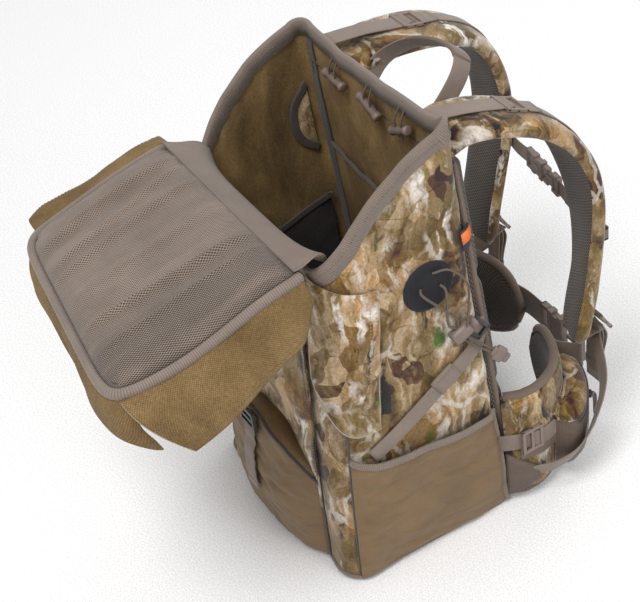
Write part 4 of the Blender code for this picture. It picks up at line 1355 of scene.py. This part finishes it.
def build_shoulder_straps():
    for name, side in SIDES.items():
        steps = 8
        path = strap_route(side, steps)
        last = len(path) - 1

        def width(share):
            full = 0.080 - 0.006 * max(1 - share * 4.5, 0) - 0.016 * share
            return full * (1 - 0.30 * max(0.0, (share - 0.92) / 0.08) ** 2)

        def section(share):
            end = max(0.0, (share - 0.965) / 0.035)
            thick = 0.023 * max(1 - end ** 2, 0.05) ** 0.5
            return pad_section(width(share) / 2, thick, 0.004 * (1 - end), power=0.62, full=3.4)

        turns = [side * twist(i / last) if side > 0 else 0.0 for i in range(last + 1)]
        wide = [Vector((-math.cos(t), math.sin(t), 0)) for t in turns]
        made = sweep(f"strap_pad_{name}", path, wide, section, [CAMO_STRAP, AIR_MESH], STRAP_KINDS)
        fit(made, [f"shoulder_strap_{name}"])
        for edge in (-1, 1):
            line = [p - w * edge * (width(i / last) / 2 - 0.0015)
                    for i, (p, w) in enumerate(zip(path, wide))][:-2]
            fit(rope(f"strap_seam_{name}_{'ab'[edge > 0]}", line, 0.0012, BELT_BINDING, sides=8))

        # Webbing down the outer face, over which the sternum strap's slider runs
        rail = [on_strap(side, i, 0.0128, steps)[0] for i in range(20, last - 1)]
        fit(strap(f"strap_rail_{name}", rail, 0.020, wide[20 : last - 1]))
        lift = STRAP_THICKNESS / 2 + 0.0045
        centre, along, outward = on_strap(side, 7, lift)
        ladder_lock(f"lifter_lock_{name}", frame_at(centre, (1, 0, 0), outward), WEBBING_WIDTH, 0.028,
                    "pack_body", [f"lifter_buckle_{name}"])
        patch = [centre + along * k - outward * 0.0012 for k in (0.006, 0.012, 0.022, 0.034)]
        fit(strap(f"lifter_anchor_{name}", patch, WEBBING_WIDTH, (1, 0, 0)))
        start = Vector((side * 0.096, 0.0755, 0.524))
        end = centre - along * 0.0155
        path_up = smooth([start, start.lerp(end, 0.5) + outward * 0.002, end, centre - along * 0.002
                          + outward * 0.003], 5)
        fit(strap(f"lifter_webbing_{name}", path_up, WEBBING_WIDTH, (1, 0, 0)),
            replaced=[f"load_lifter_{name}"])

        # The lower lock, hung from the strap's end, with its tail rolled up in an elastic keeper
        place = frame_at(strap_lock_centre(side), (1, 0, 0), (0, 0.75, 0.45))
        ladder_lock(f"strap_lock_{name}", place, WEBBING_WIDTH, 0.030, "pack_body", [f"strap_buckle_{name}"])
        drop = Vector((0, 0.010, -0.004) if side > 0 else (0, 0.009, -0.002))
        link = smooth([path[-2], path[-1] + drop, place @ Vector((0, 0.013, -0.004))], 5)
        fit(strap(f"strap_link_{name}", link, WEBBING_WIDTH - 0.001, (1, 0, 0)))


def side_release(name, place, length, width, thick, male, body, replaced):
    """Half of a side-release buckle; X runs from its webbing bar to its mouth."""
    half = length / 2
    if male:
        parts = [((0.005, width, thick * 0.8), (-half + 0.0025, 0, 0)),
                 ((0.004, width, thick * 0.7), (-half + 0.013, 0, 0)),
                 *both((0.014, 0.0035, thick * 0.8), (-half + 0.008, width / 2 - 0.00175, 0)),
                 *both((length - 0.018, 0.004, thick * 0.5), (0.007, width / 2 - 0.0065, 0)),
                 ((length - 0.020, 0.005, thick * 0.45), (0.006, 0, 0)),
                 *both((0.010, 0.0065, thick * 0.75), (half - 0.006, width / 2 - 0.0045, 0))]
    else:
        wall_side = width * 0.14
        parts = [((length * 0.66, width * 0.80, thick * 0.92), (half - length * 0.332, 0, 0)),
                 ((length * 0.20, width, thick), (half - length * 0.10, 0, 0)),
                 ((length * 0.22, width, thick), (half - length * 0.55, 0, 0)),
                 ((0.004, width, thick * 0.8), (0.002 - half, 0, 0)),
                 *both((0.013, wall_side, thick * 0.8), (0.0065 - half, width / 2 - wall_side / 2, 0)),
                 ((length * 0.30, width * 0.34, thick * 0.24), (half - length * 0.30, 0, thick / 2))]
    made = box_object(name, parts, PLASTIC, place, min(0.0012, thick * 0.12), 3)
    return fit(made, replaced, body=body)


def build_sternum_strap():
    lift = STRAP_THICKNESS / 2 + 0.003 + 0.004
    centres = {}
    for name, side in SIDES.items():
        centre, _, outward = on_strap(side, STERNUM_RAIL_INDEX, lift)
        centres[name] = centre
        place = frame_at(centre, (1, 0, 0), outward)
        parts = [*both((0.028, 0.004, 0.0065), (0, 0.007, 0)),
                 *both((0.005, 0.018, 0.0065), (0.0115, 0, 0), 0), ((0.012, 0.016, 0.0035), (0, 0, 0.0022))]
        made = box_object(f"sternum_runner_{name}", parts, PLASTIC, place, 0.0012, 3)
        fit(made, [f"sternum_slider_{name}"], body=f"sternum_slider_{name}")
    across = (centres["right"] - centres["left"]).normalized()
    middle = centres["left"].lerp(centres["right"], 0.46)
    upright = Vector((0, 0, 1))
    outward = upright.cross(across) * -1
    male = frame_at(middle + across * 0.0175, -across, outward)
    female = frame_at(middle - across * 0.0190, across, outward)
    side_release("sternum_male_half", male, 0.034, 0.026, 0.009, True, "sternum_male",
                 ["sternum_buckle_male"])
    side_release("sternum_female_half", female, 0.037, 0.026, 0.009, False, "sternum_slider_left",
                 ["sternum_buckle_female"])

    def sagging(a, b):
        return smooth([a, a.lerp(b, 0.5) - upright * 0.002 + outward * 0.001, b], 8)

    right = sagging(centres["right"] - across * 0.0105, middle + across * 0.0290)
    left = sagging(centres["left"] + across * 0.0105, middle - across * 0.0355)
    fit(strap("sternum_web_right", right, 0.020, upright), replaced=["sternum_webbing_right"],
        body="sternum_slider_right")
    fit(strap("sternum_web_left", left, 0.020, upright), replaced=["sternum_webbing_left"],
        body="sternum_slider_left")
    tail = [middle + across * 0.050 + outward * 0.0024, middle + across * 0.066 + outward * 0.0030,
            middle + across * 0.076 + outward * 0.0028]
    fit(strap("sternum_tail", smooth(tail, 5), 0.019, upright), body="sternum_slider_right")


def belt_route(side, steps=2):
    """The centre line of a hip wing in plan; the left tip lies over the right."""
    if side > 0:
        route = [(0.146, 0.124), (0.150, 0.150), (0.138, 0.181), (0.112, 0.204), (0.078, 0.218),
                 (0.040, 0.227)]
    else:
        route = [(-0.146, 0.124), (-0.152, 0.158), (-0.141, 0.197), (-0.113, 0.228), (-0.072, 0.248),
                 (-0.024, 0.257)]
    return smooth([(x, y, 0) for x, y in route], steps)


def beside_belt(side, start, end, out, z, steps=2):
    path = belt_route(side, steps)
    outward = [Vector((0, 0, side)).cross(t) * -1 for t in tangents(path)]
    return [path[i] + outward[i] * out + Vector((0, 0, z)) for i in range(start, end)]


def build_hip_belt():
    for name, side in SIDES.items():
        body = f"hip_{name}"
        path = belt_route(side, 10)
        path.insert(0, path[0] + Vector((-side * 0.0075, -0.010, 0)))
        last = len(path) - 1
        path = [p + Vector((0, 0, WING_Z + WING_RISE * i / last)) for i, p in enumerate(path)]

        def height(share):
            tip = max(0.0, (share - 0.80) / 0.20)
            return (0.150 - 0.060 * share ** 2) * max(1 - tip ** 2.2, 0.004) ** 0.5

        made = sweep(f"wing_pad_{name}", path, (0, 0, side),
                     lambda share: pad_section(height(share) / 2 - 0.001,
                                               BELT_THICKNESS * (1 - 0.3 * share ** 6)),
                     [CAMO_BELT, AIR_MESH, BELT_BINDING], PAD_KINDS)
        fit(made, [f"hip_wing_{name}"], body=body)
        top = [p + Vector((0, 0, height(i / last) / 2 - 0.0015)) for i, p in enumerate(path)]
        low = [p - Vector((0, 0, height(i / last) / 2 - 0.0015)) for i, p in enumerate(path)]
        edge = smooth([top[0], *top[3::3], *reversed(low[3::3]), low[0]], 3)
        fit(rope(f"wing_binding_{name}", edge, 0.0052, BELT_BINDING, sides=14), body=body)

        # The pocket: a printed top, a zip and a brown front
        first, end = (12, 32) if side > 0 else (8, 28)
        seat = BELT_THICKNESS / 2 + 0.0005
        route = beside_belt(side, first, end + 1, seat, POUCH_Z, 8)

        def pouch(share):
            ends = max(1 - abs(2 * share - 1) ** 6, 0.0) ** 0.5
            half = 0.040 + 0.008 * ends
            out = 0.003 + 0.0245 * ends
            shape = [(half, 0.0), (half * 0.96, out * 0.50), (half * 0.84, out * 0.80),
                     (half * 0.66, out * 0.95), (0.0262, out), (0.0238, out), (half * 0.20, out * 1.03),
                     (-half * 0.30, out * 1.02), (-half * 0.65, out * 0.95), (-half * 0.88, out * 0.72),
                     (-half * 0.98, out * 0.36), (-half, 0.0)]
            return [(side * a, b) for a, b in shape]

        kinds = [0, 0, 0, 0, 2, 1, 1, 1, 1, 1, 1, 1]
        made = sweep(f"belt_pouch_{name}", route, (0, 0, side), pouch, [CAMO_BELT, BELT_CLOTH, DARK_TAPE],
                     kinds)
        fit(made, [f"hip_pocket_{name}"], body=body)
        for z, suffix in ((0.0275, "a"), (0.0222, "b")):
            line = beside_belt(side, first + 2, end - 1, seat + 0.0276, POUCH_Z + z, 8)
            fit(rope(f"pouch_zip_edge_{name}_{suffix}", line, 0.0011, DARK_TAPE, sides=8),
                body=body)
        first, end = first + 3, end - 2
        line = beside_belt(side, first, end, BELT_THICKNESS / 2 + 0.0278, 0.100, 8)
        outs = [out - on for out, on in zip(beside_belt(side, first, end, 1, 0, 8),
                                            beside_belt(side, first, end, 0, 0, 8))]
        stitches(f"pouch_zip_teeth_{name}", line, outs, body=body, finish=BLACK_PLASTIC,
                 pitch=0.0022, length=0.0012, radius=0.0015)

        centre = node_centre(f"hip_zip_slider_{name}")
        if side > 0:
            place = frame_at(centre, (-0.809, 0.588, 0), (0.588, 0.809, 0))
        else:
            place = frame_at(centre, (0.585, 0.811, 0), (-0.811, 0.585, 0))
        made = box_object(f"hip_zip_runner_{name}",
                          [((0.009, 0.0060, 0.004), (0, 0, 0)), ((0.003, 0.003, 0.003), (0.002, 0, 0.002))],
                          BLACK_PLASTIC, place, 0.0009)
        fit(made, [f"hip_zip_slider_{name}"], body=f"hip_zip_{name}")
        pull = [Vector((0.002, 0, 0.0035)), Vector((0.005, -0.008, 0.006)), Vector((0.004, -0.024, 0.007)),
                Vector((0, -0.031, 0.006)), Vector((-0.004, -0.024, 0.005)), Vector((-0.003, -0.008, 0.005)),
                Vector((0.001, 0, 0.0035))]
        down = -1 if (place @ Vector((0, -0.03, 0))).z > centre.z else 1
        loop = smooth([place @ Vector((v.x, v.y * down, v.z)) for v in pull], 6)
        fit(rope(f"zip_pull_{name}", loop, 0.0019, PLASTIC), body=f"hip_zip_{name}")

        place = beside_belt(side, 1, 2, BELT_THICKNESS / 2 + 0.004, 0.096)[0]
        ladder_lock(f"stabiliser_lock_{name}", frame_at(place, (0, 0, 1), (side, 0, 0)), WEBBING_WIDTH, 0.028,
                    body, [f"stabiliser_buckle_{name}"])
        strand = [p + Vector((0, 0, 0.006 * (1 - k / 14))) for k, p in
                  enumerate(beside_belt(side, 0, 15, BELT_THICKNESS / 2 + 0.0022, 0.090, 8))]
        strand = [Vector((side * 0.1475, 0.097, 0.099)), *strand]
        fit(strap(f"stabiliser_webbing_{name}", strand, WEBBING_WIDTH - 0.002, (0, 0, 1)), body=body)
        flat = beside_belt(side, 0, 20, BELT_THICKNESS / 2 + 0.0008, 0.084, 8)
        fit(strap(f"stabiliser_base_{name}", flat, 0.036, (0, 0, 1), BELT_BINDING), body=body)

        # Lower webbing from the strap lock to the tab at the corner of the pack, half twisted on its way
        if side > 0:
            route = [(0.116, 0.261, 0.152), (0.148, 0.246, 0.112), (0.169, 0.217, 0.085),
                     (0.177, 0.187, 0.062), (0.171, 0.160, 0.048), (0.158, 0.138, 0.041)]
        else:
            route = [(-0.116, 0.281, 0.152), (-0.152, 0.268, 0.112), (-0.180, 0.234, 0.085),
                     (-0.190, 0.197, 0.062), (-0.180, 0.164, 0.048), (-0.163, 0.138, 0.041)]
        line = smooth(route, 8)
        made = strap(f"lower_webbing_{name}", line, WEBBING_WIDTH - 0.001, (side * 0.45, 0.05, 0.9))
        fit(made, replaced=[f"strap_webbing_{name}"], body=body)

    right = beside_belt(1, 9, 10, BELT_THICKNESS / 2 + 0.003, BUCKLE_Z)[0]
    route = smooth([right, (0.076, 0.245, BUCKLE_Z), (0.090, 0.2575, BUCKLE_Z), (0.083, 0.2655, BUCKLE_Z),
                    (0.075, 0.2680, BUCKLE_Z)], 6)
    fit(strap("belt_webbing_right", route, BELT_WEBBING_WIDTH, (0, 0, 1)), replaced=["hip_webbing_right"],
        body="hip_right")
    left = beside_belt(-1, 9, 11, BELT_THICKNESS / 2 + 0.003, BUCKLE_Z)
    route = smooth([*left, Vector((0.003, 0.2685, BUCKLE_Z))], 6)
    fit(strap("belt_webbing_left", route, BELT_WEBBING_WIDTH, (0, 0, 1)), replaced=["hip_webbing_left"],
        body="hip_left")
    male = frame_at(Vector((0.0645, 0.2680, BUCKLE_Z)), (-1, 0, 0), (0, 1, 0))
    female = frame_at(Vector((0.0250, 0.2680, BUCKLE_Z)), (1, 0, 0), (0, 1, 0))
    side_release("belt_male_half", male, 0.034, 0.044, 0.011, True, "hip_male", ["hip_buckle_male"])
    side_release("belt_female_half", female, 0.041, 0.044, 0.011, False, "hip_left", ["hip_buckle_female"])


def build_tails():
    """Rolled webbing tails below the strap locks, and the corner tabs that the lower webbing is sewn to."""
    for name, side in SIDES.items():
        low = strap_lock_centre(side)
        for layer, (reach, lift) in enumerate(((0.094, 0.0), (0.088, -0.0055), (0.081, 0.0050))):
            route = smooth([low + Vector((0, lift * 0.4 - 0.003, -0.008)), low + Vector((0, lift, -0.026)),
                            low + Vector((0, lift * 0.7 - 0.004, -0.050)),
                            low + Vector((0.001, lift * 0.45 - 0.006, -0.066)),
                            low + Vector((0.002, lift * 0.8 - 0.005, -reach))], 6)
            fit(strap(f"strap_tail_{name}_{layer}", route, WEBBING_WIDTH - 0.002, (1, 0, 0)))
        ring_centre = low + Vector((0.001, -0.0062, -0.066))
        ring = [ring_centre + Vector((0.0138 * math.cos(t), 0.0060 * math.sin(t), 0))
                for t in [2 * math.pi * i / 24 for i in range(24)]]
        shape = flat_section(0.0110, 0.0012)
        fit(sweep(f"tail_keeper_{name}", ring, (0, 0, 1), lambda share: shape, [BELT_BINDING], closed=True))

        tip = Vector((side * (0.160 + 0.004 * (side < 0)), 0.142, 0.040))
        rows = []
        for b in between(0, 1, 10):
            span = 0.066 * (1 - b) + 0.018 * b
            centre = Vector((side * 0.1455, 0.108, 0.044)).lerp(tip, b)
            rows.append([centre + Vector((side * 0.004 * math.sin(math.pi * b), 0, -span / 2 + span * a))
                         for a in between(0, 1, 6)])
        made = grid(f"corner_tab_{name}", facing(rows, side), [BELT_CLOTH], 0.003, 0)
        fit(made)


def build_haul_loop():
    route = [(0.058, 0.098, 0.481), (0.064, 0.118, 0.505), (0.064, 0.138, 0.530), (0.052, 0.149, 0.542),
             (0.022, 0.151, 0.541), (-0.015, 0.147, 0.530), (-0.045, 0.138, 0.514), (-0.061, 0.120, 0.497),
             (-0.058, 0.098, 0.479)]
    path = smooth(route, 8)
    wide = Vector((0, 0.75, -0.66))
    fit(strap("haul_handle", path, WEBBING_WIDTH, wide), replaced=["haul_loop"], body="haul_loop")
    middle = path[22:44]
    grip = sweep("haul_grip", middle, wide, lambda share: flat_section(0.0262, 0.0046), [BELT_BINDING])
    fit(grip, body="haul_loop")


# Stage, light and camera


def area_light(name, place, target, size, power, tint=(1, 1, 1)):
    data = bpy.data.lights.new(name, "AREA")
    data.shape = "DISK"
    data.size = size
    data.energy = power
    data.color = tint
    made = bpy.data.objects.new(name, data)
    made.location = place
    made.rotation_euler = (Vector(target) - Vector(place)).to_track_quat("-Z", "Y").to_euler()
    bpy.context.scene.collection.objects.link(made)


def build_stage():
    half = FLOOR_HALF_SIZE
    floor = plain("studio_floor", (0.86, 0.86, 0.86), 0.9)
    made = add_mesh("floor", [(-half, -half, 0), (half, -half, 0), (half, half, 0), (-half, half, 0)],
                    [(0, 1, 2, 3)], [floor])
    made.location.z = cad_low.z - FLOOR_GAP
    world = bpy.data.worlds.new("studio")
    bpy.context.scene.world = world
    world.use_nodes = True
    background = world.node_tree.nodes["Background"]
    background.inputs["Color"].default_value = (1, 1, 1, 1)
    background.inputs["Strength"].default_value = 0.68
    area_light("key", (0.9, -1.2, 3.0), (0, 0.05, 0.25), 1.3, 58)
    area_light("side", (2.6, 0.9, 1.5), (0, 0.05, 0.25), 1.4, 22)
    area_light("rear", (-1.2, 2.2, 1.8), (0, 0.1, 0.3), 1.8, 14)


def build_camera():
    flat = math.cos(CAMERA_ELEVATION)
    back = Vector((math.sin(CAMERA_AZIMUTH) * flat, -math.cos(CAMERA_AZIMUTH) * flat,
                   math.sin(CAMERA_ELEVATION)))
    level = Vector((math.cos(CAMERA_AZIMUTH), math.sin(CAMERA_AZIMUTH), 0))
    upright = back.cross(level)
    right = level * math.cos(CAMERA_ROLL) - upright * math.sin(CAMERA_ROLL)
    up = level * math.sin(CAMERA_ROLL) + upright * math.cos(CAMERA_ROLL)
    data = bpy.data.cameras.new("camera")
    data.sensor_width = 36.0
    data.lens = CAMERA_LENS
    made = bpy.data.objects.new("camera", data)
    turn = Matrix((right, up, back)).transposed().to_4x4()
    made.matrix_world = Matrix.Translation(CAMERA_TARGET + back * CAMERA_DISTANCE) @ turn
    bpy.context.scene.collection.objects.link(made)
    bpy.context.scene.camera = made


bpy.context.scene.view_settings.view_transform = "Standard"
build_stage()
build_camera()
build_bag()
build_inside()
build_front()
build_sides()
build_port()
build_toggles()
build_lid()
build_back()
build_shoulder_straps()
build_sternum_strap()
build_hip_belt()
build_tails()
build_haul_loop()
repaint("base_panel", POCKET_NYLON)
